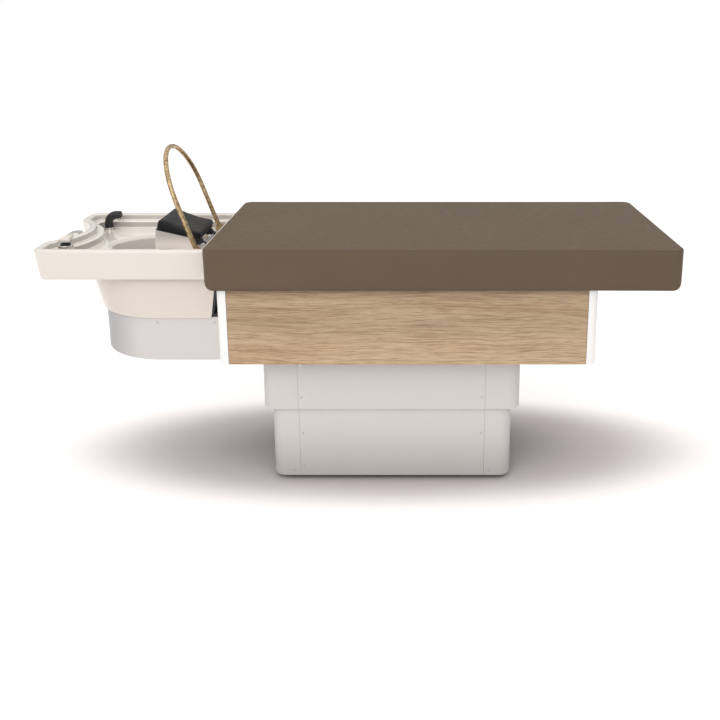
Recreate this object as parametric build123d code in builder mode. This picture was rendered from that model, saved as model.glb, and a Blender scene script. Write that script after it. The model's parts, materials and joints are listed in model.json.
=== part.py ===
from build123d import *
import os
from math import acos, atan, cos, radians, sin, tan

os.makedirs("parts", exist_ok=True)

# Origin on the floor under the middle of the whole bed, +X towards the foot end, +Z up, millimetres

# Whole bed
overall_length = 2060
mattress_top = 850
mattress_width = 750
basin_length = 557
basin_bed_gap = 3
mattress_length = overall_length - basin_length - basin_bed_gap
mattress_thickness = 133
foot_x = overall_length / 2
head_x = -foot_x
mattress_head_x = foot_x - mattress_length
frame_top = mattress_top - mattress_thickness

# Clearances shared by all pieces
soft_gap = 0.3
running_gap = 0.05
slide_gap = 0.5
cut_over = 5

# Upper frame with its wooden sides and white ends
frame_overhang_head = 38
frame_overhang_foot = 258
frame_overhang_side = 28
frame_head_x = mattress_head_x + frame_overhang_head
frame_foot_x = foot_x - frame_overhang_foot
frame_width = mattress_width - 2 * frame_overhang_side
frame_length = frame_foot_x - frame_head_x
frame_x = (frame_head_x + frame_foot_x) / 2
panel_top_gap = 2
panel_height = 253
panel_wall = 18
panel_corner = 22
panel_gap = 1.5
end_panel_reach = 31
panel_top = frame_top - panel_top_gap
panel_bottom = panel_top - panel_height

# Welded tubes of the upper frame
rail_size = 40
rail_wall = 3
stringer_size = 25
stringer_wall = 2
stringer_rise = 10

# Telescopic pedestal covers
pedestal_shift = -53.5
pedestal_x = frame_x + pedestal_shift
cover_wall = 3
cover_length_share = 5 / 7
cover_from_frame_side = 87
cover_step_x = 26
cover_step_y = 12
seam_from_cover_end = 118
cover_seam_gap = 0.6
upper_cover_length = frame_length * cover_length_share
upper_cover_width = frame_width - 2 * cover_from_frame_side
cover_seam_span = upper_cover_length - 2 * seam_from_cover_end
upper_cover_corner = 42
upper_cover_height = 410
lower_cover_length = upper_cover_length - 2 * cover_step_x
lower_cover_width = upper_cover_width - 2 * cover_step_y
lower_cover_corner = 42
lower_cover_height = 327
lower_cover_lap = 2
upper_cover_top = frame_top - rail_size
upper_cover_bottom = upper_cover_top - upper_cover_height

# Downward lift travel from the height shown
lift_down = 200

# Base
base_pad_radius = 25
base_pad_height = 8
base_pad_from_cover_end = 64
base_pad_from_cover_side = 58
base_pad_spacing_x = lower_cover_length / 2 - base_pad_from_cover_end
base_pad_spacing_y = lower_cover_width - 2 * base_pad_from_cover_side
plinth_height = 12
plinth_inset = 14
base_plate_wall = 4
base_upstand_height = 45
anchor_from_cover_end = 104
anchor_from_cover_side = 58
anchor_spacing_x = lower_cover_length - 2 * anchor_from_cover_end
anchor_spacing_y = lower_cover_width - 2 * anchor_from_cover_side
anchor_hole_radius = 5.5
plinth_top = base_pad_height + plinth_height
lower_cover_bottom = plinth_top - lower_cover_lap
lower_cover_top = lower_cover_bottom + lower_cover_height
base_top = plinth_top + base_plate_wall

# Lift columns
column_spacing_share = 10 / 13
column_spacing = cover_seam_span * column_spacing_share
column_size_x = 150
column_size_y = 120
column_wall = 4
column_corner = 10
column_stage_length = 380
column_flange_wall = 8
column_flange_edge = 20
column_end_gap = 6

# Seam strips and screws
strip_width = 44
strip_wall = 2.5
screw_head_radius = 4
screw_head_height = 1.2
screw_shank_radius = 2
screw_from_seam = 11
wrap_screw_from_seam = 19
upper_screw_rises = (41, 158)
lower_screw_rises = (39, 157)
wrap_screw_rise = 18

# Basin
basin_width = 570
basin_tip_x = head_x
basin_bed_x = mattress_head_x - basin_bed_gap
rim_below_mattress = 28
rim_height = 102
rim_draft = 13
rim_width = 28
rim_bed_width = 20
rim_drop = 22
lip_width = 24
lip_bed_width = 6
lip_drop = 25
basin_wall = 8
notch_depth_share = 37 / 285
notch_radius_share = 37 / 95
notch_depth = basin_width * notch_depth_share
notch_radius = basin_width * notch_radius_share
lobe_radius = 43
rim_corner = 40
rim_inner_lobe = 24
rim_inner_corner = 20
lip_inner_lobe = 18
lip_inner_corner = 16
rim_round = 9
rim_bottom_round = 8
lip_round = 5
rim_slot_width = 5
rim_slot_height = 26
rim_slot_depth = 10
rim_slot_from_bed = 6
rim_top = mattress_top - rim_below_mattress
rim_bottom = rim_top - rim_height
lip_top = rim_top - rim_drop
deck_top = lip_top - lip_drop
deck_bottom = deck_top - basin_wall

# Bowl below the deck
bowl_from_tip = 154
bowl_from_bed = 117
bowl_from_side = 133
bowl_length = basin_length - bowl_from_tip - bowl_from_bed
bowl_width = basin_width - 2 * bowl_from_side
bowl_bed_straight = 41
bowl_bed_corner = 36
bowl_depth = 140
bowl_run = 62
bowl_profile_shares = ((0, 0), (0.09, 0.22), (0.8, 0.56), (0.95, 0.72), (1, 1))
bowl_tip_x = head_x + bowl_from_tip
bowl_bottom = deck_top - bowl_depth

# Neck block that rises out of the bowl
neck_tip_from_mattress = 214
neck_bed_from_mattress = 80
neck_block_width = 200
neck_tip_rise = 71.5
neck_bed_rise = 40
neck_block_foot_run = 22
neck_block_round = 18
neck_tip_x = mattress_head_x - neck_tip_from_mattress
neck_bed_x = mattress_head_x - neck_bed_from_mattress
neck_block_high = deck_top + neck_tip_rise
neck_block_low = deck_top + neck_bed_rise

# Neck pad
pad_length = 154
pad_shift = 11
pad_width = 220
pad_thickness = 30
pad_corner = 16
pad_crown = 3
pad_plate_wall = 3
pad_edge_run = 8
pad_edge_inset_shares = (0.4, 0.05, 0, 0.15, 0, 0.2, 0.5, 1)
pad_edge_height_shares = (0, 0.12, 0.25, 0.5, 0.7, 0.84, 0.94, 1)
pad_slope = (neck_block_high - neck_block_low) / (neck_bed_x - neck_tip_x)
pad_rod_radius = 4
pad_rod_from_block = 25
pad_rod_height = 14
pad_rod_post = 12
pad_plate_inset = 2
hook_spacing = 150
hook_width = 16
hook_ring = 4

# Water arch
arch_from_mattress = 56
arch_pivot_height = 16
arch_from_basin_side = 111
arch_radius = basin_width / 2 - arch_from_basin_side
arch_leg = 168
arch_lean_angle = 19.5
arch_tube_radius = 8
arch_bore_radius = 5.5
arch_knuckle_radius = 9.5
arch_jet_radius = 0.9
arch_jets = 15
arch_pin_radius = 4
arch_cheek = 5
arch_cheek_gap = 0.5
arch_cheek_radius = 12
arch_socket_base = 6
arch_x = mattress_head_x - arch_from_mattress

# Mixer tap
mixer_from_tip = 82
mixer_from_side = 89
mixer_y = mixer_from_side - basin_width / 2
mixer_radius = 24
mixer_flange_radius = 25.5
mixer_flange_height = 4
mixer_height = 44
mixer_shank_radius = 16
mixer_round = 3
mixer_shank_length = 30
mixer_tail_radius = 5
mixer_tail_length = 18
mixer_tail_spacing = 16
mixer_nut_height = 6
cartridge_radius = 16
cartridge_base = 4
cartridge_rise = 9
post_radius = 9
lever_width = 34
lever_wall = 6
lever_rise = 32
lever_back = 22
lever_reach = 54
lever_below_pin = 2
lever_crest_share = 0.64
lever_throat_run_share = 0.43
lever_throat_rise_share = 0.5
lever_root_share = 0.33
lever_pin_radius = 2.5
mixer_x = head_x + mixer_from_tip

# Hand shower
shower_from_tip = 86
shower_from_side = 79
shower_y = basin_width / 2 - shower_from_side
holder_radius = 19
holder_height = 9
holder_bore_radius = 11
holder_wing_length = 50
holder_wing_width = 6
holder_wing_height = 4
handle_radius = 14.5
handle_round = 6
handle_spigot_radius = 10
handle_spigot_length = 20
handle_rise = 14
handle_bend = 32
handle_reach = 18
spray_radius = 8
spray_height = 4
shower_x = head_x + shower_from_tip

# Drain
drain_place_share = 61 / 143
drain_hole_radius = 22
drain_flange_radius = 30
drain_flange_height = 2
drain_tail_radius = 20
drain_tail_wall = 3
drain_tail_length = 78
drain_nut_height = 8
strainer_radius = 25
strainer_height = 9
strainer_seat_depth = 6
strainer_knob_radius = 4
strainer_wall = 1.5
strainer_hole_radius = 2
strainer_holes = 12
trap_radius = 28
trap_height = 66
trap_wall = 3
trap_outlet_radius = 16
trap_outlet_reach = 58
trap_collar_wall = 4
trap_collar_drop = 24
trap_spout_length = 50
drain_x = bowl_tip_x + bowl_length * drain_place_share

# Shell below the basin
shell_from_basin_side = 40
shell_width = basin_width - 2 * shell_from_basin_side
shell_wall = 4
shell_slant = 14.2
shell_seam_from_frame = 220
shell_overlap = 2
shell_lap = 8
shell_seam_x = frame_head_x - shell_seam_from_frame

# Shroud tray over whose rim the shell reaches
shroud_side_gap = 2
shroud_width = shell_width - 2 * (shell_wall + shroud_side_gap)
shroud_wall = 2.5
shroud_drop = 133
shroud_height = 149
shroud_centre_from_frame = 213.5
shroud_flange = 25
shroud_service_length = 320
shroud_service_from_side = 59
shroud_service_width = shroud_width - 2 * shroud_service_from_side
shroud_service_corner = 50
shroud_service_from_frame = 208
shroud_strip_height = 30
shroud_strip_wall = 2.5
shroud_screws_from_frame = (221, 33)
shroud_screw_drop = 19
shroud_top = frame_top - shroud_drop
shroud_centre_x = frame_head_x - shroud_centre_from_frame

# Tilting carrier below the basin
tilt_angle = 8
tilt_pivot_from_frame = 17
tilt_pivot_drop = 17
tilt_pivot_x = frame_head_x - tilt_pivot_from_frame
tilt_pivot_z = frame_top - tilt_pivot_drop
tilt_pin_radius = 5
lug_radius = 9
lug_wall = 10
ear_wall = 6
ear_gap = 0.5
lug_from_basin_side = 135
lug_spacing = basin_width - 2 * lug_from_basin_side
bracket_wall = 5
bracket_height = 52
bracket_edge = 14
carrier_face_from_frame = 41
carrier_plate_wall = 4
carrier_plate_gap = 8.5
carrier_plate_width = shell_width - 2 * (shell_wall + carrier_plate_gap)
carrier_plate_drop = 31
carrier_flange_depth = 17
carrier_flange_height = 11
carrier_arm = 24
carrier_arm_from_basin_side = 80
carrier_arm_spacing = basin_width - 2 * carrier_arm_from_basin_side
carrier_arm_length = 300
carrier_side_wall = 6
carrier_side_depth = 46
carrier_plate_top = frame_top - carrier_plate_drop

# Power inlet and control box
inlet_from_seam = 112
inlet_height = 42
inlet_flange_x = 58
inlet_flange_z = 32
inlet_flange_wall = 3
inlet_body_x = 47
inlet_body_z = 27
inlet_body_depth = 32
inlet_socket_x = 40
inlet_socket_z = 20
inlet_socket_depth = 20
inlet_pin = 2.5
inlet_pin_length = 10
inlet_pin_spacing = 9
motor_gearbox = 60
motor_gearbox_length = 45
motor_radius = 26
motor_space = 80
motor_length = (column_spacing - column_size_x - motor_space) / 2 - motor_gearbox_length
control_box_share = 20 / 33
control_box_from_cover = 58
control_box_gap = 40
control_box_x = (column_spacing - column_size_x) * control_box_share
control_box_y = (lower_cover_width - motor_gearbox) / 2 - control_box_from_cover - control_box_gap
control_box_z = 70
control_box_shift_y = (lower_cover_width - control_box_y) / 2 - control_box_from_cover
inlet_x = pedestal_x + cover_seam_span / 2 - inlet_from_seam

# Mattress board and soft forms
board_wall = 15
board_edge = 60
mattress_corner = 38
mattress_top_round = 12
mattress_bottom_round = 22
mattress_crown = 5
mattress_draw = 2
round_shares = ((1, 0), (0.6, 0.08), (0.3, 0.28), (0.08, 0.6), (0, 1))
crown_shares = ((0.3, 0.35), (0.6, 0.75), (0.85, 0.96), (0.97, 1))


def keep(part, name):
    part.label = name
    export_step(part, f"parts/{name}.step")


# Box between two values on each axis, joined to or cut from the part being built
def block(x_range, y_range, z_range, mode=Mode.ADD):
    ranges = [sorted(pair) for pair in (x_range, y_range, z_range)]
    with Locations(tuple((low + high) / 2 for low, high in ranges)):
        Box(*[high - low for low, high in ranges], mode=mode)


# Upright cylinders on one centre line, each given by its radius, bottom and top
def turned(x, y, *steps, mode=Mode.ADD):
    for radius, low, high in steps:
        with Locations((x, y, low)):
            Cylinder(radius, high - low, align=(Align.CENTER, Align.CENTER, Align.MIN), mode=mode)


# Cylinders along Y, each centred on a given place
def bars(places, radius, length, mode=Mode.ADD):
    with Locations(*places):
        Cylinder(radius, length, rotation=(90, 0, 0), mode=mode)


# Closed wall of rounded rectangular plan, standing between two heights
def wall_ring(centre_x, length, width, corner, wall, bottom, top):
    with BuildPart() as ring:
        with BuildSketch(Plane.XY.offset(bottom)):
            with Locations((centre_x, 0)):
                RectangleRounded(length, width, corner)
                RectangleRounded(length - 2 * wall, width - 2 * wall, corner - wall, mode=Mode.SUBTRACT)
        extrude(amount=top - bottom)
    return ring.part


# Part of a wall ring that lies between two X values and on one side of the middle, or on both
def wall_piece(ring, x_range, y_range, holes=()):
    with BuildPart() as piece:
        add(ring)
        block(x_range, y_range, (0, mattress_top), mode=Mode.INTERSECT)
        for hole in holes:
            add(hole, mode=Mode.SUBTRACT)
    return piece.part


# Screw holes and screws of the pedestal covers, front and back
seam_xs = (pedestal_x - cover_seam_span / 2, pedestal_x + cover_seam_span / 2)


def screw_places(face_y, heights, from_seam):
    places = []
    for side in (-1, 1):
        for outward, seam in zip((-1, 1), seam_xs):
            for height in heights:
                places.append((seam - outward * from_seam, side * face_y, height))
    return places


def screw_group(places, length, radius_gap=0, head=True):
    with BuildPart() as screws:
        for x, y, z in places:
            outward = 1 if y > 0 else -1
            plane = Plane((x, y, z), x_dir=(1, 0, 0), z_dir=(0, outward, 0))
            with BuildSketch(plane):
                Circle(screw_shank_radius + radius_gap)
            extrude(amount=-length)
            if head:
                with BuildSketch(plane):
                    Circle(screw_head_radius)
                extrude(amount=screw_head_height)
    return screws.part


upper_screw_heights = [upper_cover_bottom + rise for rise in upper_screw_rises]
lower_screw_heights = [lower_cover_bottom + rise for rise in lower_screw_rises]
wrap_screw_heights = [lower_cover_bottom + wrap_screw_rise]
upper_screws = screw_places(upper_cover_width / 2, upper_screw_heights, screw_from_seam)
lower_screws = screw_places(lower_cover_width / 2, lower_screw_heights, screw_from_seam)
wrap_screws = screw_places(lower_cover_width / 2, wrap_screw_heights, -wrap_screw_from_seam)
screw_length = cover_wall + strip_wall
upper_screw_holes = screw_group(upper_screws, screw_length + cut_over, running_gap, False)
lower_screw_holes = screw_group(lower_screws + wrap_screws, screw_length + cut_over, running_gap, False)
keep(screw_group(upper_screws, screw_length), "upper_cover_screws")
keep(screw_group(lower_screws + wrap_screws, screw_length), "lower_cover_screws")

# Base frame with its plinth, floor pads and anchor holes
inner_cover_length = lower_cover_length - 2 * cover_wall
inner_cover_width = lower_cover_width - 2 * cover_wall
inner_cover_corner = lower_cover_corner - cover_wall
inlet_depth = inlet_body_depth + cover_wall
with BuildPart() as inlet_cutter:
    with Locations((inlet_x, (lower_cover_width - inlet_depth) / 2, inlet_height)):
        Box(inlet_body_x + slide_gap, inlet_depth + cut_over, inlet_body_z + slide_gap)

base_upstand = wall_ring(pedestal_x, inner_cover_length, inner_cover_width, inner_cover_corner,
                         base_plate_wall, plinth_top, plinth_top + base_upstand_height)
with BuildPart() as base_frame:
    with BuildSketch(Plane.XY.offset(base_pad_height)):
        with Locations((pedestal_x, 0)):
            RectangleRounded(inner_cover_length - 2 * plinth_inset, inner_cover_width - 2 * plinth_inset,
                             inner_cover_corner - plinth_inset)
    extrude(amount=plinth_height)
    with BuildSketch(Plane.XY.offset(plinth_top)):
        with Locations((pedestal_x, 0)):
            RectangleRounded(inner_cover_length, inner_cover_width, inner_cover_corner)
    extrude(amount=base_plate_wall)
    add(base_upstand)
    with Locations((pedestal_x, 0, base_top)):
        with GridLocations(anchor_spacing_x, anchor_spacing_y, 2, 2):
            Hole(anchor_hole_radius)
    add(inlet_cutter.part, mode=Mode.SUBTRACT)
    add(lower_screw_holes, mode=Mode.SUBTRACT)
keep(base_frame.part, "base_frame")

with BuildPart() as base_pads:
    with BuildSketch():
        with Locations((pedestal_x, 0)):
            with GridLocations(base_pad_spacing_x, base_pad_spacing_y, 3, 2):
                Circle(base_pad_radius)
    extrude(amount=base_pad_height)
keep(base_pads.part, "base_pads")


# Pedestal covers: a front and a back sheet and two wrap-round ends on each level
def cover_set(prefix, length, width, corner, bottom, top, holes):
    ring = wall_ring(pedestal_x, length, width, corner, cover_wall, bottom, top)
    seam_low, seam_high = seam_xs
    gap = cover_seam_gap / 2
    all_y = (-width, width)
    middle_x = (seam_low + gap, seam_high - gap)
    pieces = {
        "front": wall_piece(ring, middle_x, (-width, 0), holes),
        "back": wall_piece(ring, middle_x, (0, width), holes),
        "head": wall_piece(ring, (seam_low - length, seam_low - gap), all_y, holes),
        "foot": wall_piece(ring, (seam_high + gap, seam_high + length), all_y, holes),
    }
    for place, piece in pieces.items():
        keep(piece, f"{prefix}_cover_{place}")


cover_set("upper", upper_cover_length, upper_cover_width, upper_cover_corner, upper_cover_bottom,
          upper_cover_top, (upper_screw_holes,))
cover_set("lower", lower_cover_length, lower_cover_width, lower_cover_corner, lower_cover_bottom,
          lower_cover_top, (lower_screw_holes, inlet_cutter.part))


# Strips behind the seams that tie each sheet to its neighbours
def seam_strips(width, bottom, top, holes):
    face = width / 2 - cover_wall
    with BuildPart() as strips:
        for side in (-1, 1):
            for seam in seam_xs:
                block((seam - strip_width / 2, seam + strip_width / 2),
                      (side * face, side * (face - strip_wall)), (bottom, top))
        add(holes, mode=Mode.SUBTRACT)
    return strips.part


keep(seam_strips(upper_cover_width, upper_cover_bottom, upper_cover_top, upper_screw_holes),
     "upper_seam_strips")
keep(seam_strips(lower_cover_width, plinth_top + base_upstand_height, lower_cover_top, lower_screw_holes),
     "lower_seam_strips")


# Three-stage lift columns, the outer stage on the base and the inner one under the frame
def column_tube(centre_x, size_x, size_y, bottom, flange_at_top=None):
    with BuildPart() as tube:
        with BuildSketch(Plane.XY.offset(bottom)):
            with Locations((centre_x, 0)):
                RectangleRounded(size_x, size_y, column_corner)
                Rectangle(size_x - 2 * column_wall, size_y - 2 * column_wall, mode=Mode.SUBTRACT)
        extrude(amount=column_stage_length)
        if flange_at_top is not None:
            foot = bottom + column_stage_length if flange_at_top else bottom - column_flange_wall
            with BuildSketch(Plane.XY.offset(foot)):
                with Locations((centre_x, 0)):
                    RectangleRounded(column_size_x + 2 * column_flange_edge,
                                     column_size_y + 2 * column_flange_edge, column_corner)
            extrude(amount=column_flange_wall)
    return tube.part


stage_step = 2 * (column_wall + slide_gap)
column_foot = base_top + column_flange_wall
middle_bottom = column_foot + column_end_gap + lift_down / 2
inner_bottom = upper_cover_top - column_flange_wall - column_stage_length
column_xs = {"head": pedestal_x - column_spacing / 2, "foot": pedestal_x + column_spacing / 2}
for place, x in column_xs.items():
    keep(column_tube(x, column_size_x, column_size_y, column_foot, False), f"column_outer_{place}")
    keep(column_tube(x, column_size_x - stage_step, column_size_y - stage_step, middle_bottom),
         f"column_middle_{place}")
    keep(column_tube(x, column_size_x - 2 * stage_step, column_size_y - 2 * stage_step, inner_bottom, True),
         f"column_inner_{place}")

# Gear motors beside the columns
for place, towards in (("head", 1), ("foot", -1)):
    face = column_xs[place] + towards * column_size_x / 2
    with BuildPart() as motor:
        block((face, face + towards * motor_gearbox_length), (-motor_gearbox / 2, motor_gearbox / 2),
              (base_top, base_top + motor_gearbox))
        plane = Plane((face + towards * motor_gearbox_length, 0, base_top + motor_gearbox / 2),
                      z_dir=(towards, 0, 0))
        with BuildSketch(plane):
            Circle(motor_radius)
        extrude(amount=motor_length)
        block((face, face + towards * column_flange_edge), (-column_size_y, column_size_y),
              (base_top, base_top + column_flange_wall), mode=Mode.SUBTRACT)
    keep(motor.part, f"lift_motor_{place}")

# Control box on the base and power inlet in the back cover
with BuildPart() as control_box:
    with BuildSketch(Plane.XY.offset(base_top)):
        with Locations((pedestal_x, control_box_shift_y)):
            RectangleRounded(control_box_x, control_box_y, column_corner)
    extrude(amount=control_box_z)
keep(control_box.part, "control_box")

inlet_face = lower_cover_width / 2
with BuildPart() as power_inlet:
    plane = Plane((inlet_x, inlet_face, inlet_height), x_dir=(1, 0, 0), z_dir=(0, 1, 0))
    with BuildSketch(plane):
        Rectangle(inlet_flange_x, inlet_flange_z)
    extrude(amount=inlet_flange_wall)
    with BuildSketch(plane):
        Rectangle(inlet_body_x, inlet_body_z)
    extrude(amount=-inlet_body_depth)
    with BuildSketch(plane.offset(inlet_flange_wall)):
        Rectangle(inlet_socket_x, inlet_socket_z)
    extrude(amount=-inlet_socket_depth, mode=Mode.SUBTRACT)
    with BuildSketch(plane.offset(inlet_flange_wall - inlet_socket_depth)):
        with GridLocations(inlet_pin_spacing, 0, 3, 1):
            Rectangle(inlet_pin, 2 * inlet_pin)
    extrude(amount=inlet_pin_length)
keep(power_inlet.part, "power_inlet")

# Upper frame panels: wooden sides and white wrap-round ends
panel_ring = wall_ring(frame_x, frame_length, frame_width, panel_corner, panel_wall, panel_bottom, panel_top)
side_panel_x = (frame_head_x + end_panel_reach + panel_gap, frame_foot_x - end_panel_reach - panel_gap)
panel_y = (-frame_width, frame_width)
keep(wall_piece(panel_ring, side_panel_x, (-frame_width, 0)), "side_panel_front")
keep(wall_piece(panel_ring, side_panel_x, (0, frame_width)), "side_panel_back")
keep(wall_piece(panel_ring, (head_x, frame_head_x + end_panel_reach), panel_y), "end_panel_head")
keep(wall_piece(panel_ring, (frame_foot_x - end_panel_reach, foot_x), panel_y), "end_panel_foot")

# Tubes of the upper frame, each with its three ranges, its wall and the axis along which it runs
rail_face = frame_width / 2 - panel_wall
rail_x = (frame_head_x + panel_corner, frame_foot_x - panel_corner)
rail_z = (upper_cover_top, frame_top)
stringer_z = (panel_bottom + stringer_rise, panel_bottom + stringer_rise + stringer_size)
cross_centres = [pedestal_x + side * (upper_cover_length - rail_size) / 2 for side in (-1, 1)]
cross_centres += list(column_xs.values())
cross_centres += [rail_x[0] + rail_size / 2, rail_x[1] - rail_size / 2]
post_x = [(rail_x[0], rail_x[0] + stringer_size), (rail_x[1] - stringer_size, rail_x[1])]
post_x.append((frame_x - stringer_size / 2, frame_x + stringer_size / 2))
frame_tubes = []
for side in (-1, 1):
    rail_y = sorted((side * rail_face, side * (rail_face - rail_size)))
    stringer_y = sorted((side * rail_face, side * (rail_face - stringer_size)))
    frame_tubes.append(((rail_x, rail_y, rail_z), rail_wall, 0))
    frame_tubes.append(((rail_x, stringer_y, stringer_z), stringer_wall, 0))
    for x_range in post_x:
        frame_tubes.append(((x_range, stringer_y, (stringer_z[1], rail_z[0])), stringer_wall, 2))
cross_y = (rail_size - rail_face, rail_face - rail_size)
for centre in cross_centres:
    x_range = (centre - rail_size / 2, centre + rail_size / 2)
    frame_tubes.append(((x_range, cross_y, rail_z), rail_wall, 1))
for x_range in post_x[:2]:
    end_y = (stringer_size - rail_face, rail_face - stringer_size)
    frame_tubes.append(((x_range, end_y, stringer_z), stringer_wall, 1))
with BuildPart() as top_frame:
    for ranges, wall, along in frame_tubes:
        block(*ranges)
    for ranges, wall, along in frame_tubes:
        hollow = [r if axis == along else (r[0] + wall, r[1] - wall) for axis, r in enumerate(ranges)]
        block(*hollow, mode=Mode.SUBTRACT)
keep(top_frame.part, "top_frame")

# Board that carries the mattress
board_x = (mattress_head_x + board_edge, foot_x - board_edge)
board_half = mattress_width / 2 - board_edge
with BuildPart() as mattress_board:
    block(board_x, (-board_half, board_half), (frame_top, frame_top + board_wall))
keep(mattress_board.part, "mattress_board")


# Soft block lofted through rounded rectangles, each given by its inset and height
def cushion(plane, length, width, corner, levels):
    with BuildPart() as pad:
        for inset, height in levels:
            with BuildSketch(plane.offset(height)):
                RectangleRounded(length - 2 * inset, width - 2 * inset, corner)
        loft(ruled=True)
    return pad.part


# Mattress with a drawn-in side and a crowned top, hollowed for its board
mattress_bottom = frame_top + soft_gap
side_low = mattress_bottom + mattress_bottom_round
side_high = mattress_top - mattress_crown - mattress_top_round
mattress_levels = [(run * mattress_bottom_round, mattress_bottom + rise * mattress_bottom_round)
                   for run, rise in round_shares]
mattress_levels.append((mattress_draw, (side_low + side_high) / 2))
mattress_levels += [(run * mattress_top_round, side_high + (1 - rise) * mattress_top_round)
                    for run, rise in reversed(round_shares)]
crown_run = mattress_width / 2 - mattress_corner - mattress_top_round
mattress_levels += [(mattress_top_round + run * crown_run,
                     mattress_top - mattress_crown + rise * mattress_crown) for run, rise in crown_shares]
mattress_form = cushion(Plane((mattress_head_x + mattress_length / 2, 0, 0)), mattress_length,
                        mattress_width, mattress_corner, mattress_levels)
with BuildPart() as mattress:
    add(mattress_form)
    block((board_x[0] - soft_gap, board_x[1] + soft_gap), (-board_half - soft_gap, board_half + soft_gap),
          (frame_top - cut_over, frame_top + board_wall + soft_gap), mode=Mode.SUBTRACT)
keep(mattress.part, "mattress")


# Plan of the basin: two head-end lobes with a round notch between them, square at the bed
def basin_plan(inset, bed_inset, lobe, corner):
    tip = basin_tip_x + inset
    side = basin_width / 2 - inset
    notch = notch_radius + inset
    turn = acos(1 - notch_depth / (notch + lobe))
    lobe_y = (notch + lobe) * sin(turn)
    notch_x = tip + notch_depth - notch

    def on_notch(angle):
        return (notch_x + notch * cos(angle), notch * sin(angle))

    def on_lobe(angle):
        return (tip + lobe - lobe * cos(angle), lobe_y - lobe * sin(angle))

    with BuildLine() as outline:
        ThreePointArc(on_notch(0), on_notch(turn / 2), on_notch(turn))
        ThreePointArc(on_lobe(turn), on_lobe(turn / 2), on_lobe(0))
        Line((tip, lobe_y), (tip, side - corner))
        RadiusArc((tip, side - corner), (tip + corner, side), corner)
        Line((tip + corner, side), (basin_bed_x - bed_inset, side))
        Line((basin_bed_x - bed_inset, side), (basin_bed_x - bed_inset, 0))
        mirror(about=Plane.XZ)
    return outline.line


def basin_face(height, *plan):
    with BuildSketch(Plane.XY.offset(height)) as face:
        with BuildLine():
            add(basin_plan(*plan))
        make_face()
    return face.sketch


# Plan of the bowl: half an ellipse towards the head end and rounded corners at the bed
def bowl_face(height, inset):
    tip = bowl_tip_x + inset
    half = bowl_width / 2 - inset
    bed = bowl_tip_x + bowl_length - inset
    centre = bed - bowl_bed_straight
    corner = bowl_bed_corner
    with BuildSketch(Plane.XY.offset(height)) as face:
        with BuildLine():
            EllipticalCenterArc((centre, 0), centre - tip, half, 90, arc_size=90)
            Line((centre, half), (bed - corner, half))
            RadiusArc((bed - corner, half), (bed, half - corner), corner)
            Line((bed, half - corner), (bed, 0))
            mirror(about=Plane.XZ)
        make_face()
    return face.sketch


def bowl_levels(wall):
    return [(deck_top - depth * bowl_depth - wall * (depth > 0), run * bowl_run - wall)
            for depth, run in bowl_profile_shares]


def neck_profile(wall):
    tip = neck_tip_x + wall
    bed = neck_bed_x - wall
    foot = bowl_bottom - basin_wall / 2 - 3 * wall
    return [(tip - neck_block_foot_run, foot), (tip, neck_block_high - wall), (bed, neck_block_low - wall),
            (bed, foot)]


# Neck block, wider at its foot, as a solid and as the hollow inside it
def neck_solid(wall):
    with BuildPart() as block:
        with BuildSketch(Plane.XZ):
            with BuildLine():
                Polyline(*neck_profile(wall), close=True)
            make_face()
        extrude(amount=neck_block_width / 2 - wall, both=True)
        upright = block.edges().filter_by(Axis.Y, reverse=True).group_by(Axis.X)[0]
        fillet(upright, neck_block_round - wall)
    return block.part


# Basin with its rim, lip, deck, bowl, neck block and the posts of the pad rod
rim_outer = [basin_face(rim_bottom, rim_draft, 0, lobe_radius - rim_draft, rim_corner - rim_draft),
             basin_face(rim_top, 0, 0, lobe_radius, rim_corner)]
pocket_inset = rim_draft + basin_wall
pocket_face = basin_face(rim_bottom, pocket_inset, basin_wall, lobe_radius - pocket_inset,
                         rim_corner - pocket_inset / 2)
rim_well = basin_face(lip_top, rim_width, rim_bed_width, rim_inner_lobe, rim_inner_corner)
lip_well = basin_face(deck_top, rim_width + lip_width, rim_bed_width + lip_bed_width, lip_inner_lobe,
                      lip_inner_corner)
bowl_outer = [bowl_face(height, inset) for height, inset in bowl_levels(basin_wall)]
bowl_inner = [bowl_face(height, inset) for height, inset in bowl_levels(0)]
neck_outer = neck_solid(0)
neck_inner = neck_solid(basin_wall)
pad_rod_x = neck_bed_x + pad_rod_from_block
pad_rod_z = deck_top + pad_rod_height
post_y = (neck_block_width - pad_rod_post) / 2
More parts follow.
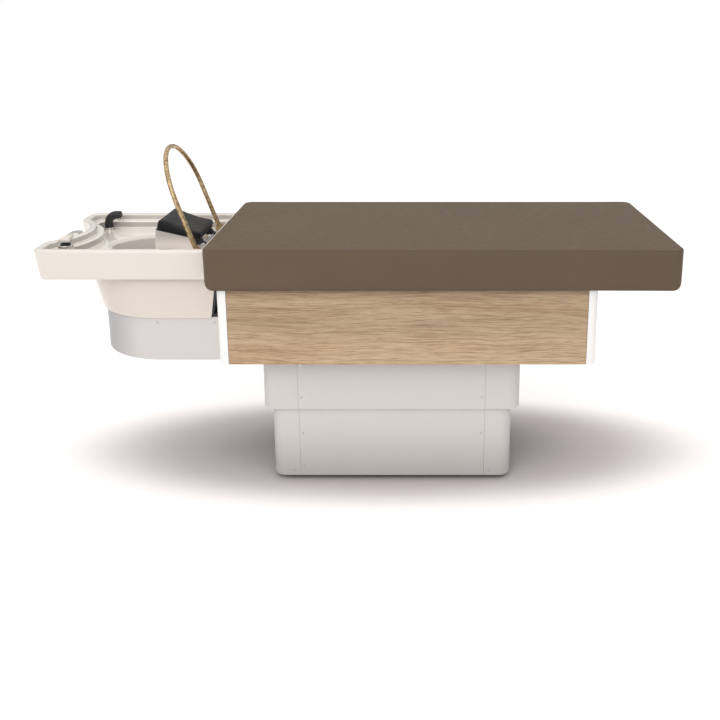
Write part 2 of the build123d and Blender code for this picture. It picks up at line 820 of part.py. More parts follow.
with BuildPart() as basin:
    loft(rim_outer, ruled=True)
    fillet(basin.edges().group_by(Axis.Z)[-1], rim_round)
    fillet(basin.edges().group_by(Axis.Z)[0], rim_bottom_round)
    extrude(pocket_face, amount=deck_bottom - rim_bottom, mode=Mode.SUBTRACT)
    loft(bowl_outer, ruled=True)
    extrude(rim_well, amount=rim_drop, mode=Mode.SUBTRACT)
    fillet(basin.faces().sort_by(Axis.Z)[-1].inner_wires()[0].edges(), rim_round)
    extrude(lip_well, amount=lip_drop, mode=Mode.SUBTRACT)
    lip_ring = basin.faces().filter_by_position(Axis.Z, lip_top - running_gap, lip_top + running_gap)
    fillet(lip_ring.sort_by(SortBy.AREA)[-1].inner_wires()[0].edges(), lip_round)
    loft(bowl_inner, ruled=True, mode=Mode.SUBTRACT)
    add(neck_outer)
    add(neck_inner, mode=Mode.SUBTRACT)
    for side in (-1, 1):
        with BuildSketch(Plane.XZ.offset(-side * post_y)):
            with Locations((pad_rod_x, pad_rod_z)):
                Circle(2 * pad_rod_radius)
            with Locations((pad_rod_x, deck_top + pad_rod_height / 2)):
                Rectangle(4 * pad_rod_radius, pad_rod_height)
            with Locations((pad_rod_x, pad_rod_z)):
                Circle(pad_rod_radius + running_gap, mode=Mode.SUBTRACT)
        extrude(amount=pad_rod_post / 2, both=True)
        slot_y = side * (basin_width / 2 - rim_slot_depth / 2)
        with Locations((basin_bed_x - rim_slot_from_bed, slot_y, rim_top - rim_slot_height / 2)):
            Box(rim_slot_width, rim_slot_depth + running_gap, rim_slot_height, mode=Mode.SUBTRACT)
    for x, y, radius in ((drain_x, 0, drain_hole_radius), (mixer_x, mixer_y, mixer_shank_radius + slide_gap),
                         (shower_x, shower_y, holder_bore_radius)):
        turned(x, y, (radius, bowl_bottom - trap_height, rim_top), mode=Mode.SUBTRACT)
keep(basin.part, "basin")


# Plan shared by the shell and the shroud: half a circle at the head end, straight at the sides
def u_face(height, centre_x, half, end_x):
    with BuildSketch(Plane.XY.offset(height)) as face:
        with BuildLine():
            RadiusArc((centre_x, half), (centre_x - half, 0), -half)
            RadiusArc((centre_x - half, 0), (centre_x, -half), -half)
            Polyline((centre_x, -half), (end_x, -half), (end_x, half), (centre_x, half))
        make_face()
    return face.sketch


# Shell that hangs below the basin and reaches over the rim of the shroud
carrier_face_x = frame_head_x - carrier_face_from_frame
carrier_plane = Plane((carrier_face_x, 0, shroud_top), x_dir=(0, 1, 0),
                      z_dir=(cos(radians(tilt_angle)), 0, -sin(radians(tilt_angle))))
skirt_inner_x = basin_bed_x - basin_wall - slide_gap
shell_bottom = shroud_top - shell_overlap
shell_step_z = tilt_pivot_z + lug_radius / 2


def shell_faces(half, over):
    faces = []
    for height in (shell_bottom - over, rim_bottom + shell_lap + over):
        centre = shell_seam_x - (height - shroud_top) * tan(radians(shell_slant))
        faces.append(u_face(height, centre, half, frame_head_x + over))
    return faces


shell_outer = shell_faces(shell_width / 2, 0)
shell_inner = shell_faces(shell_width / 2 - shell_wall, cut_over)
with BuildPart() as basin_shell:
    loft(shell_outer, ruled=True)
    loft(shell_inner, ruled=True, mode=Mode.SUBTRACT)
    split(bisect_by=carrier_plane, keep=Keep.BOTTOM)
    block((skirt_inner_x, foot_x), (-basin_width, basin_width), (shell_step_z, rim_top), mode=Mode.SUBTRACT)
keep(basin_shell.part, "basin_shell")


# Black carrier on which the basin tilts
def carrier_x(height):
    return carrier_face_x + (height - shroud_top) * tan(radians(tilt_angle))


carrier_bottom = shroud_top - shroud_wall
carrier_outer = carrier_plate_wall / cos(radians(tilt_angle))
arm_y = carrier_arm_spacing / 2
ear_low = carrier_plate_top - carrier_side_depth
ear_offset = lug_wall / 2 + ear_gap + ear_wall / 2
lug_ys = (-lug_spacing / 2, lug_spacing / 2)
tilt_places = [(tilt_pivot_x, lug_y, tilt_pivot_z) for lug_y in lug_ys]
with BuildPart() as tilt_carrier:
    with BuildSketch(Plane.XZ):
        with BuildLine():
            Polyline((carrier_x(carrier_bottom), carrier_bottom),
                     (carrier_x(carrier_bottom) + carrier_outer + carrier_flange_depth, carrier_bottom),
                     (carrier_x(carrier_bottom) + carrier_outer + carrier_flange_depth,
                      carrier_bottom + carrier_flange_height),
                     (carrier_x(carrier_bottom + carrier_flange_height) + carrier_outer,
                      carrier_bottom + carrier_flange_height),
                     (carrier_x(carrier_plate_top) + carrier_outer, carrier_plate_top),
                     (carrier_x(carrier_plate_top), carrier_plate_top), close=True)
        make_face()
    extrude(amount=carrier_plate_width / 2, both=True)
    for side in (-1, 1):
        block((skirt_inner_x - carrier_arm_length, skirt_inner_x),
              (side * arm_y - carrier_arm / 2, side * arm_y + carrier_arm / 2),
              (deck_bottom - carrier_arm, deck_bottom))
        with BuildSketch(Plane.XZ.offset(-side * arm_y)):
            with BuildLine():
                Polyline((skirt_inner_x - carrier_side_depth, deck_bottom - carrier_arm),
                         (skirt_inner_x, deck_bottom - carrier_arm), (skirt_inner_x, shell_step_z),
                         (carrier_x(carrier_plate_top), carrier_plate_top),
                         (carrier_x(carrier_bottom), carrier_bottom), close=True)
            make_face()
        extrude(amount=carrier_side_wall / 2, both=True)
    for lug_y in lug_ys:
        for ear_y in (lug_y - ear_offset, lug_y + ear_offset):
            with BuildSketch(Plane.XZ.offset(-ear_y)):
                with Locations((tilt_pivot_x, tilt_pivot_z)):
                    Circle(lug_radius)
                with BuildLine():
                    Polyline((tilt_pivot_x - lug_radius, tilt_pivot_z),
                             (tilt_pivot_x + lug_radius, tilt_pivot_z),
                             (carrier_x(ear_low) + carrier_outer, ear_low), (carrier_x(ear_low), ear_low),
                             (carrier_x(carrier_plate_top), carrier_plate_top), close=True)
                make_face()
            extrude(amount=ear_wall / 2, both=True)
    bars(tilt_places, tilt_pin_radius + running_gap, lug_spacing / 2, mode=Mode.SUBTRACT)
keep(tilt_carrier.part, "tilt_carrier")

# Bracket on the frame's head end, with the lugs between the carrier's ears
bracket_face = frame_head_x - bracket_wall
bracket_top = tilt_pivot_z + lug_radius
bracket_half = lug_spacing / 2 + bracket_edge + lug_wall
with BuildPart() as tilt_bracket:
    block((bracket_face, frame_head_x), (-bracket_half, bracket_half),
          (bracket_top - bracket_height, bracket_top))
    for lug_y in lug_ys:
        with BuildSketch(Plane.XZ.offset(-lug_y)):
            with Locations((tilt_pivot_x, tilt_pivot_z)):
                Circle(lug_radius)
            with BuildLine():
                Polyline((tilt_pivot_x, bracket_top), (bracket_face, bracket_top),
                         (bracket_face, tilt_pivot_z - 2 * lug_radius),
                         (tilt_pivot_x, tilt_pivot_z - lug_radius), close=True)
            make_face()
        extrude(amount=lug_wall / 2, both=True)
    bars(tilt_places, tilt_pin_radius + running_gap, lug_spacing / 2, mode=Mode.SUBTRACT)
keep(tilt_bracket.part, "tilt_bracket")

with BuildPart() as tilt_pins:
    bars(tilt_places, tilt_pin_radius, 2 * (ear_offset + ear_wall))
keep(tilt_pins.part, "tilt_pins")

with BuildPart() as pad_rod:
    bars([(pad_rod_x, 0, pad_rod_z)], pad_rod_radius, neck_block_width)
keep(pad_rod.part, "pad_rod")

# Shroud tray fixed to the frame's head end
shroud_bottom = shroud_top - shroud_height
shroud_half = shroud_width / 2
shroud_outer = u_face(shroud_bottom, shroud_centre_x, shroud_half, frame_head_x)
shroud_inner = u_face(shroud_bottom + shroud_wall, shroud_centre_x, shroud_half - shroud_wall,
                      frame_head_x + cut_over)
shroud_screw_xs = [frame_head_x - distance for distance in shroud_screws_from_frame]
shroud_screw_places = [(x, side * shroud_half, shroud_top - shroud_screw_drop)
                       for x in shroud_screw_xs for side in (-1, 1)]
shroud_screw_length = shroud_wall + shroud_strip_wall
shroud_holes = screw_group(shroud_screw_places, shroud_screw_length + cut_over, running_gap, False)
with BuildPart() as basin_shroud:
    extrude(shroud_outer, amount=shroud_height)
    extrude(shroud_inner, amount=shroud_height, mode=Mode.SUBTRACT)
    for side in (-1, 1):
        block((frame_head_x - shroud_wall, frame_head_x),
              (side * shroud_half, side * (shroud_half - shroud_flange)), (shroud_bottom, shroud_top))
    with BuildSketch(Plane.XY.offset(shroud_bottom)):
        with Locations((frame_head_x - shroud_service_from_frame, 0)):
            RectangleRounded(shroud_service_length, shroud_service_width, shroud_service_corner)
    extrude(amount=shroud_height, mode=Mode.SUBTRACT)
    add(shroud_holes, mode=Mode.SUBTRACT)
keep(basin_shroud.part, "basin_shroud")

strip_face = shroud_half - shroud_wall
with BuildPart() as shroud_strips:
    for side in (-1, 1):
        block((shroud_centre_x, frame_head_x - shroud_wall),
              (side * strip_face, side * (strip_face - shroud_strip_wall)),
              (shroud_top - shroud_strip_height, shroud_top))
    add(shroud_holes, mode=Mode.SUBTRACT)
keep(shroud_strips.part, "shroud_strips")
keep(screw_group(shroud_screw_places, shroud_screw_length), "shroud_screws")

# Neck pad on its plate, with the hooks that swing on the rod
pad_tilt = atan(pad_slope)
pad_plane = Plane(((neck_tip_x + neck_bed_x) / 2, 0, (neck_block_high + neck_block_low) / 2),
                  x_dir=(cos(pad_tilt), 0, -sin(pad_tilt)), z_dir=(sin(pad_tilt), 0, cos(pad_tilt)))
pad_centre = pad_plane.shift_origin(pad_plane.from_local_coords((pad_shift, 0, 0)))
plate_length = pad_length - 2 * pad_plate_inset
with BuildPart() as neck_pad_plate:
    with BuildSketch(pad_centre.offset(soft_gap)):
        RectangleRounded(plate_length, pad_width - pad_corner, pad_corner / 2)
    extrude(amount=pad_plate_wall)
keep(neck_pad_plate.part, "neck_pad_plate")

pad_levels = [(inset * pad_edge_run, soft_gap + pad_plate_wall + soft_gap + rise * pad_thickness)
              for inset, rise in zip(pad_edge_inset_shares, pad_edge_height_shares)]
pad_levels += [(pad_edge_run * (1 + 2 * run), pad_levels[-1][1] + rise * pad_crown)
               for run, rise in crown_shares]
keep(cushion(pad_centre, pad_length, pad_width, pad_corner, pad_levels), "neck_pad")

# Hooks that hang the pad plate on the rod
hook_foot = pad_centre.from_local_coords((plate_length / 2, 0, soft_gap))
hook_x = neck_bed_x + slide_gap
hook_z = hook_foot.Z + (hook_foot.X - hook_x) * pad_slope
with BuildPart() as pad_hooks:
    for hook_y in (-hook_spacing / 2, hook_spacing / 2):
        with BuildSketch(Plane.XZ.offset(-hook_y)):
            with Locations((pad_rod_x, pad_rod_z)):
                Circle(pad_rod_radius + hook_ring)
            with BuildLine():
                Polyline((hook_x, hook_z), (hook_foot.X, hook_foot.Z),
                         (pad_rod_x, pad_rod_z + pad_rod_radius + hook_ring), (pad_rod_x, pad_rod_z),
                         (hook_x, pad_rod_z), close=True)
            make_face()
        extrude(amount=hook_width / 2, both=True)
    bars([(pad_rod_x, 0, pad_rod_z)], pad_rod_radius + running_gap, neck_block_width, mode=Mode.SUBTRACT)
keep(pad_hooks.part, "pad_hooks")

# Bent tube standing upright over the origin
def bent_tube(radius, from_pivot):
    with BuildPart() as tube:
        for side in (-1, 1):
            turned(0, side * arch_radius, (radius, from_pivot, arch_leg))
        with BuildSketch(Plane.XY.offset(arch_leg)):
            with Locations((0, arch_radius)):
                Circle(radius)
        revolve(axis=Axis((0, 0, arch_leg), (1, 0, 0)), revolution_arc=180)
    return tube.part


# Water arch: a bent tube with jets on its inner side, leaning towards the head end
arch_outer = bent_tube(arch_tube_radius, 0)
arch_bore = bent_tube(arch_bore_radius, 2 * arch_tube_radius)
knuckles = [(0, side * arch_radius, 0) for side in (-1, 1)]
jet_ring = arch_radius - (arch_tube_radius + arch_bore_radius) / 2
with BuildPart() as upright_arch:
    add(arch_outer)
    bars(knuckles, arch_knuckle_radius, 2 * arch_tube_radius)
    add(arch_bore, mode=Mode.SUBTRACT)
    bars(knuckles, arch_pin_radius + running_gap, 4 * arch_tube_radius, mode=Mode.SUBTRACT)
    for index in range(arch_jets):
        angle = 180 * (index + 1) / (arch_jets + 1)
        jet_y = jet_ring * cos(radians(angle))
        jet_z = arch_leg + jet_ring * sin(radians(angle))
        with Locations(Location((0, jet_y, jet_z), (angle - 90, 0, 0))):
            Cylinder(arch_jet_radius, arch_tube_radius, mode=Mode.SUBTRACT)
arch_z = deck_top + arch_pivot_height
with BuildPart() as water_arch:
    with Locations(Location((arch_x, 0, arch_z), (0, -arch_lean_angle, 0))):
        add(upright_arch.part)
keep(water_arch.part, "water_arch")

# Sockets and pins in which the arch swings
arch_feet = [(arch_x, side * arch_radius, arch_z) for side in (-1, 1)]
cheek_inner = arch_tube_radius + arch_cheek_gap
cheek_outer = cheek_inner + arch_cheek
for place, side in (("front", -1), ("back", 1)):
    foot_y = side * arch_radius
    with BuildPart() as socket:
        with BuildSketch(Plane.XZ.offset(-foot_y)):
            with Locations((arch_x, arch_z)):
                Circle(arch_cheek_radius)
            with Locations((arch_x, deck_top + arch_pivot_height / 2)):
                Rectangle(2 * arch_cheek_radius, arch_pivot_height)
        extrude(amount=cheek_outer, both=True)
        block((arch_x - 2 * arch_cheek_radius, arch_x + 2 * arch_cheek_radius),
              (foot_y - cheek_inner, foot_y + cheek_inner),
              (deck_top + arch_socket_base, arch_z + 2 * arch_cheek_radius), mode=Mode.SUBTRACT)
        bars(arch_feet, arch_pin_radius + running_gap, 4 * cheek_outer, mode=Mode.SUBTRACT)
    keep(socket.part, f"arch_socket_{place}")

with BuildPart() as arch_pins:
    bars(arch_feet, arch_pin_radius, 2 * (cheek_outer + running_gap))
keep(arch_pins.part, "arch_pins")

# Mixer tap: body with shank and tails, swivelling cartridge, lever on its pin
mixer_top = deck_top + mixer_height
shank_bottom = deck_top - mixer_shank_length
tail_bottom = shank_bottom - mixer_tail_length
with BuildPart() as mixer_body:
    turned(mixer_x, mixer_y, (mixer_flange_radius, deck_top, deck_top + mixer_flange_height),
           (mixer_radius, deck_top, mixer_top))
    fillet(mixer_body.edges().group_by(Axis.Z)[-1], mixer_round)
    turned(mixer_x, mixer_y, (mixer_shank_radius, shank_bottom, deck_top))
    for side in (-1, 1):
        turned(mixer_x + side * mixer_tail_spacing / 2, mixer_y,
               (mixer_tail_radius, tail_bottom, shank_bottom))
keep(mixer_body.part, "mixer_body")

with BuildPart() as mixer_nut:
    turned(mixer_x, mixer_y, (mixer_radius, deck_bottom - mixer_nut_height, deck_bottom))
    turned(mixer_x, mixer_y, (mixer_shank_radius + running_gap, shank_bottom, deck_top), mode=Mode.SUBTRACT)
keep(mixer_nut.part, "mixer_nut")

lever_pin_z = mixer_top + cartridge_base + cartridge_rise
lever_pin_place = [(mixer_x, mixer_y, lever_pin_z)]
with BuildPart() as mixer_cartridge:
    turned(mixer_x, mixer_y, (cartridge_radius, mixer_top, mixer_top + cartridge_base),
           (post_radius, mixer_top, lever_pin_z + post_radius / 2))
    bars(lever_pin_place, lever_pin_radius + running_gap, 4 * post_radius, mode=Mode.SUBTRACT)
keep(mixer_cartridge.part, "mixer_cartridge")

with BuildPart() as lever_pin:
    bars(lever_pin_place, lever_pin_radius, lever_width)
keep(lever_pin.part, "lever_pin")

lever_bottom = lever_pin_z - lever_below_pin
lever_back_x = mixer_x - lever_back
lever_tip_x = mixer_x + lever_reach
lever_tip_z = lever_bottom + lever_rise
lever_root_x = mixer_x + lever_root_share * lever_reach
lever_throat = (mixer_x + lever_throat_run_share * lever_reach,
                lever_bottom + lever_throat_rise_share * lever_rise)
pocket_half = post_radius + slide_gap + lever_below_pin
with BuildPart() as mixer_lever:
    with BuildSketch(Plane.XZ.offset(-mixer_y)):
        with BuildLine():
            ThreePointArc((lever_back_x, lever_bottom),
                          (mixer_x, lever_bottom + lever_rise * lever_crest_share),
                          (lever_tip_x, lever_tip_z))
            Line((lever_tip_x, lever_tip_z), (lever_tip_x, lever_tip_z - lever_wall))
            ThreePointArc((lever_tip_x, lever_tip_z - lever_wall), lever_throat, (lever_root_x, lever_bottom))
            Line((lever_root_x, lever_bottom), (lever_back_x, lever_bottom))
        make_face()
    extrude(amount=lever_width / 2, both=True)
    fillet(mixer_lever.edges().filter_by(Axis.Y).group_by(Axis.X)[-1], lever_wall / 2 - slide_gap)
    block((mixer_x - pocket_half, mixer_x + pocket_half),
          (mixer_y - post_radius - slide_gap, mixer_y + post_radius + slide_gap),
          (lever_bottom - cut_over, lever_pin_z + post_radius), mode=Mode.SUBTRACT)
    bars(lever_pin_place, lever_pin_radius + running_gap, 2 * lever_width, mode=Mode.SUBTRACT)
keep(mixer_lever.part, "mixer_lever")

# Holder of the hand shower, with two wings on the deck
holder_top = deck_top + holder_height
with BuildPart() as shower_holder:
    turned(shower_x, shower_y, (holder_radius, deck_top, holder_top),
           (holder_bore_radius, deck_bottom, deck_top))
    block((shower_x - holder_wing_length / 2, shower_x + holder_wing_length / 2),
          (shower_y - holder_wing_width / 2, shower_y + holder_wing_width / 2),
          (deck_top, deck_top + holder_wing_height))
    turned(shower_x, shower_y, (handle_spigot_radius + running_gap, deck_bottom, holder_top),
           mode=Mode.SUBTRACT)
keep(shower_holder.part, "shower_holder")

# Hand shower with its spigot and its spray face
handle_bottom = holder_top + soft_gap
bend_start = handle_bottom + handle_rise
bend_end = bend_start + handle_bend
spray_x = shower_x + handle_bend + handle_reach - spray_radius
spray_top = bend_end - handle_radius / 3
spray_bottom = bend_end - handle_radius - spray_height
with BuildPart() as hand_shower:
    with BuildLine(Plane.XZ.offset(-shower_y)) as path:
        Line((shower_x, handle_bottom), (shower_x, bend_start))
        RadiusArc((shower_x, bend_start), (shower_x + handle_bend, bend_end), handle_bend)
        Line((shower_x + handle_bend, bend_end), (shower_x + handle_bend + handle_reach, bend_end))
    with BuildSketch(Plane(path.line @ 0, z_dir=path.line % 0)):
        Circle(handle_radius)
    sweep()
    fillet(hand_shower.edges().group_by(Axis.X)[-1], handle_round)
    turned(shower_x, shower_y, (handle_spigot_radius, handle_bottom - handle_spigot_length, bend_start))
    turned(spray_x, shower_y, (spray_radius + running_gap, spray_bottom, spray_top), mode=Mode.SUBTRACT)
keep(hand_shower.part, "hand_shower")

with BuildPart() as spray_face:
    turned(spray_x, shower_y, (spray_radius, spray_bottom, spray_top))
keep(spray_face.part, "spray_face")

# Drain: flange in the bowl floor with the nut below it
flange_top = bowl_bottom + drain_flange_height
drain_bottom = flange_top - drain_tail_length
tail_bore = drain_tail_radius - drain_tail_wall
with BuildPart() as drain_flange:
    turned(drain_x, 0, (drain_flange_radius, bowl_bottom, flange_top),
           (drain_tail_radius, drain_bottom, flange_top))
    turned(drain_x, 0, (tail_bore, drain_bottom, flange_top), mode=Mode.SUBTRACT)
keep(drain_flange.part, "drain_flange")

bowl_underside = bowl_bottom - basin_wall
with BuildPart() as drain_nut:
    turned(drain_x, 0, (trap_radius, bowl_underside - drain_nut_height, bowl_underside))
    turned(drain_x, 0, (drain_tail_radius + running_gap, drain_bottom, bowl_bottom), mode=Mode.SUBTRACT)
keep(drain_nut.part, "drain_nut")

# Trap under the drain, with an elbow on its side that turns the outlet down
trap_bottom = drain_bottom - trap_height
outlet_x = drain_x + trap_outlet_reach
outlet_z = trap_bottom + trap_height / 2
collar_bottom = outlet_z - trap_collar_drop
spout_bottom = collar_bottom - trap_spout_length
outlet_place = Location((drain_x, 0, outlet_z), (0, 90, 0))
from_start = (Align.CENTER, Align.CENTER, Align.MIN)


def trap_elbow(radius, mode=Mode.ADD):
    with Locations(outlet_place):
        Cylinder(radius, trap_outlet_reach, align=from_start, mode=mode)
    with Locations((outlet_x, 0, outlet_z)):
        Sphere(radius, mode=mode)


outlet_bore = trap_outlet_radius - trap_wall
with BuildPart() as drain_trap:
    turned(drain_x, 0, (trap_radius, trap_bottom, drain_bottom))
    trap_elbow(trap_outlet_radius + trap_collar_wall)
    turned(outlet_x, 0, (trap_outlet_radius + trap_collar_wall, collar_bottom, outlet_z),
           (trap_outlet_radius, spout_bottom, outlet_z))
    trap_elbow(outlet_bore, mode=Mode.SUBTRACT)
    turned(outlet_x, 0, (outlet_bore, spout_bottom, outlet_z), mode=Mode.SUBTRACT)
    turned(drain_x, 0, (trap_radius - trap_wall, trap_bottom + trap_wall, drain_bottom - trap_wall),
           (tail_bore, outlet_z, drain_bottom), mode=Mode.SUBTRACT)
keep(drain_trap.part, "drain_trap")

# Hair strainer that lies loose in the drain flange
strainer_seat = tail_bore - slide_gap
hole_circle = (strainer_seat + strainer_knob_radius) / 2
with BuildPart() as hair_strainer:
    turned(drain_x, 0, (strainer_radius, flange_top, flange_top + strainer_wall),
           (strainer_seat, flange_top - strainer_seat_depth, flange_top))
    turned(drain_x, 0, (strainer_seat - strainer_wall, flange_top - strainer_seat_depth, flange_top),
           mode=Mode.SUBTRACT)
    turned(drain_x, 0, (strainer_knob_radius, flange_top, flange_top + strainer_height))
    with Locations((drain_x, 0, flange_top + strainer_wall)):
        with PolarLocations(hole_circle, strainer_holes):
            Hole(strainer_hole_radius)
keep(hair_strainer.part, "hair_strainer")
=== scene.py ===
import json
import math

import bmesh
import bpy
from mathutils import Matrix, Vector


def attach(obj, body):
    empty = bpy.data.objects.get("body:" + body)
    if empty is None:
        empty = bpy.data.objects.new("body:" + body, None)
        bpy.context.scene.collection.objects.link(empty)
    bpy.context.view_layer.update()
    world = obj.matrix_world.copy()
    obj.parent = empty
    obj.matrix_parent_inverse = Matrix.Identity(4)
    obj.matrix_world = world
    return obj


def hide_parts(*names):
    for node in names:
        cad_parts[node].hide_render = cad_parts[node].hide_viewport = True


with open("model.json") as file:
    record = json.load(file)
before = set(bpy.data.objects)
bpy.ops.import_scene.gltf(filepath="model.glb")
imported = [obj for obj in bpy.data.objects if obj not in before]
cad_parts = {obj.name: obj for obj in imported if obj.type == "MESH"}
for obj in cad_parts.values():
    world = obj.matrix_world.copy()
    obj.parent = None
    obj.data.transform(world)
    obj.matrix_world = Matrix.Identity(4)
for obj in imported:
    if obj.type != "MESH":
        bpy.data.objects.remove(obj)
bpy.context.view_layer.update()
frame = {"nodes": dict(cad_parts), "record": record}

print("frame loaded with", len(frame["nodes"]), "nodes")

# Camera of the photograph: long side view from a little above, looking along +Y

cameraView = {"place": (0.191, -2.9747, 1.5315), "pitchDown": 13.49, "lens": 43.86,
              "shift": (-0.075, -0.1793)}

cameraData = bpy.data.cameras.new("viewCamera")
cameraData.lens = cameraView["lens"]
cameraData.shift_x, cameraData.shift_y = cameraView["shift"]
cameraObject = bpy.data.objects.new("viewCamera", cameraData)
cameraObject.location = cameraView["place"]
cameraObject.rotation_euler = (math.radians(90 - cameraView["pitchDown"]), 0, 0)
bpy.context.collection.objects.link(cameraObject)
bpy.context.scene.camera = cameraObject
bpy.context.scene.view_settings.view_transform = "Standard"
print("camera set")


# Node helpers for the finishes

white = (1, 1, 1)
noiseSpan = (0.3, 0.7)  # most values of a noise lie between these two


def newMaterial(name):
    material = bpy.data.materials.new(name)
    material.use_nodes = True
    nodes = material.node_tree.nodes
    nodes.clear()
    output = nodes.new("ShaderNodeOutputMaterial")
    shader = nodes.new("ShaderNodeBsdfPrincipled")
    material.node_tree.links.new(shader.outputs[0], output.inputs[0])
    return material, material.node_tree, shader


def objectCoords(tree, stretch=(1, 1, 1)):
    coords = tree.nodes.new("ShaderNodeTexCoord")
    mapping = tree.nodes.new("ShaderNodeMapping")
    mapping.inputs["Scale"].default_value = stretch
    tree.links.new(coords.outputs["Object"], mapping.inputs["Vector"])
    return mapping.outputs["Vector"]


def noiseOn(tree, vector, scale, detail=3, rough=0.5, warp=0):
    noise = tree.nodes.new("ShaderNodeTexNoise")
    noise.inputs["Scale"].default_value = scale
    noise.inputs["Detail"].default_value = detail
    noise.inputs["Roughness"].default_value = rough
    noise.inputs["Distortion"].default_value = warp
    tree.links.new(vector, noise.inputs["Vector"])
    return noise.outputs["Fac"]


def rampOf(tree, value, stops):
    ramp = tree.nodes.new("ShaderNodeValToRGB")
    elements = ramp.color_ramp.elements
    elements[0].position, elements[0].color = stops[0][0], (*stops[0][1], 1)
    elements[1].position, elements[1].color = stops[-1][0], (*stops[-1][1], 1)
    for place, color in stops[1:-1]:
        element = elements.new(place)
        element.color = (*color, 1)
    tree.links.new(value, ramp.inputs["Fac"])
    return ramp.outputs["Color"]


def rangeOf(tree, value, low, high, fromLow=noiseSpan[0], fromHigh=noiseSpan[1], soft=False):
    node = tree.nodes.new("ShaderNodeMapRange")
    if soft:
        node.interpolation_type = "SMOOTHSTEP"
    node.inputs["From Min"].default_value = fromLow
    node.inputs["From Max"].default_value = fromHigh
    node.inputs["To Min"].default_value = low
    node.inputs["To Max"].default_value = high
    tree.links.new(value, node.inputs["Value"])
    return node.outputs["Result"]


def bumpOn(tree, shader, height, depth, strength=1.0, below=None):
    bump = tree.nodes.new("ShaderNodeBump")
    bump.inputs["Strength"].default_value = strength
    bump.inputs["Distance"].default_value = depth
    tree.links.new(height, bump.inputs["Height"])
    if below is not None:
        tree.links.new(below, bump.inputs["Normal"])
    tree.links.new(bump.outputs["Normal"], shader.inputs["Normal"])
    return bump.outputs["Normal"]


def multiplied(tree, first, second, factor=1.0):
    mix = tree.nodes.new("ShaderNodeMix")
    mix.data_type = "RGBA"
    mix.blend_type = "MULTIPLY"
    mix.inputs["Factor"].default_value = factor
    tree.links.new(first, mix.inputs[6])
    tree.links.new(second, mix.inputs[7])
    return mix.outputs[2]


def axisOf(tree, axis):
    coords = tree.nodes.new("ShaderNodeTexCoord")
    split = tree.nodes.new("ShaderNodeSeparateXYZ")
    tree.links.new(coords.outputs["Object"], split.inputs[0])
    return split.outputs[axis]


def mathOn(tree, operation, first, second=None):
    node = tree.nodes.new("ShaderNodeMath")
    node.operation = operation
    for socket, value in zip(node.inputs, (first, second)):
        if isinstance(value, (int, float)):
            socket.default_value = value
        elif value is not None:
            tree.links.new(value, socket)
    return node.outputs[0]


def productOf(tree, first, *others):
    for other in others:
        first = mathOn(tree, "MULTIPLY", first, other)
    return first


def vectorMath(tree, operation, vector, constant=None):
    node = tree.nodes.new("ShaderNodeVectorMath")
    node.operation = operation
    tree.links.new(vector, node.inputs[0])
    if constant is not None:
        node.inputs[1].default_value = constant
    return node


def shade(color, factor):
    return tuple(min(1.0, part * factor) for part in color)


# Colour that drifts a little darker and lighter over the piece

def cloudedColor(tree, vector, look):
    cloud = noiseOn(tree, vector, look["cloudScale"], look["cloudDetail"], look["cloudRough"])
    dark, bright = (shade(look["color"], 1 + side * look["spread"]) for side in (-1, 1))
    return rampOf(tree, cloud, ((noiseSpan[0], dark), (noiseSpan[1], bright)))


def smearedRoughness(tree, shader, vector, look):
    smear = noiseOn(tree, vector, look["smearScale"], look["smearDetail"])
    tree.links.new(rangeOf(tree, smear, *look["rough"]), shader.inputs["Roughness"])


# Tones at heights over the floor, from the first of them up to the top

def heightTones(tree, height, tones, top):
    low = tones[0][0]
    stops = [((level - low) / (top - low), tone) for level, tone in tones]
    return rampOf(tree, rangeOf(tree, height, 0, 1, low, top), stops)


# A finish whose colour, gloss and surface each vary a little: its own values go over the common ones

finishBasics = {"stretch": (1, 1, 1), "spread": 0.04, "cloudScale": 6, "cloudDetail": 4, "cloudRough": 0.5,
                "smearScale": 14, "smearDetail": 5, "metal": 0, "ior": 1.5, "coat": 0, "bump": 0,
                "grainScale": 900, "grainDetail": 2, "bumpStrength": 0.5}


def plainFinish(name, ownLook):
    look = dict(finishBasics, **ownLook)
    material, tree, shader = newMaterial(name)
    vector = objectCoords(tree, look["stretch"])
    color = cloudedColor(tree, vector, look)
    # The fade is painted shade on the cover and shroud paints; on the black metal it darkens the bottom
    # band.
    if "fade" in look:  # colour drawn towards another tone along one axis
        fade = look["fade"]
        amount = rangeOf(tree, axisOf(tree, fade["axis"]), 0, 1, fade["from"], fade["to"], True)
        color = multiplied(tree, color, rampOf(tree, amount, ((0, white), (1, fade["tone"]))))
    tree.links.new(color, shader.inputs["Base Color"])
    smearedRoughness(tree, shader, vector, look)
    shader.inputs["Metallic"].default_value = look["metal"]
    shader.inputs["IOR"].default_value = look["ior"]
    if look["coat"] > 0:
        shader.inputs["Coat Weight"].default_value = look["coat"]
        shader.inputs["Coat Roughness"].default_value = look["coatRough"]
    if look["bump"] > 0:
        grain = noiseOn(tree, vector, look["grainScale"], look["grainDetail"])
        bumpOn(tree, shader, grain, look["bump"], look["bumpStrength"])
    return material


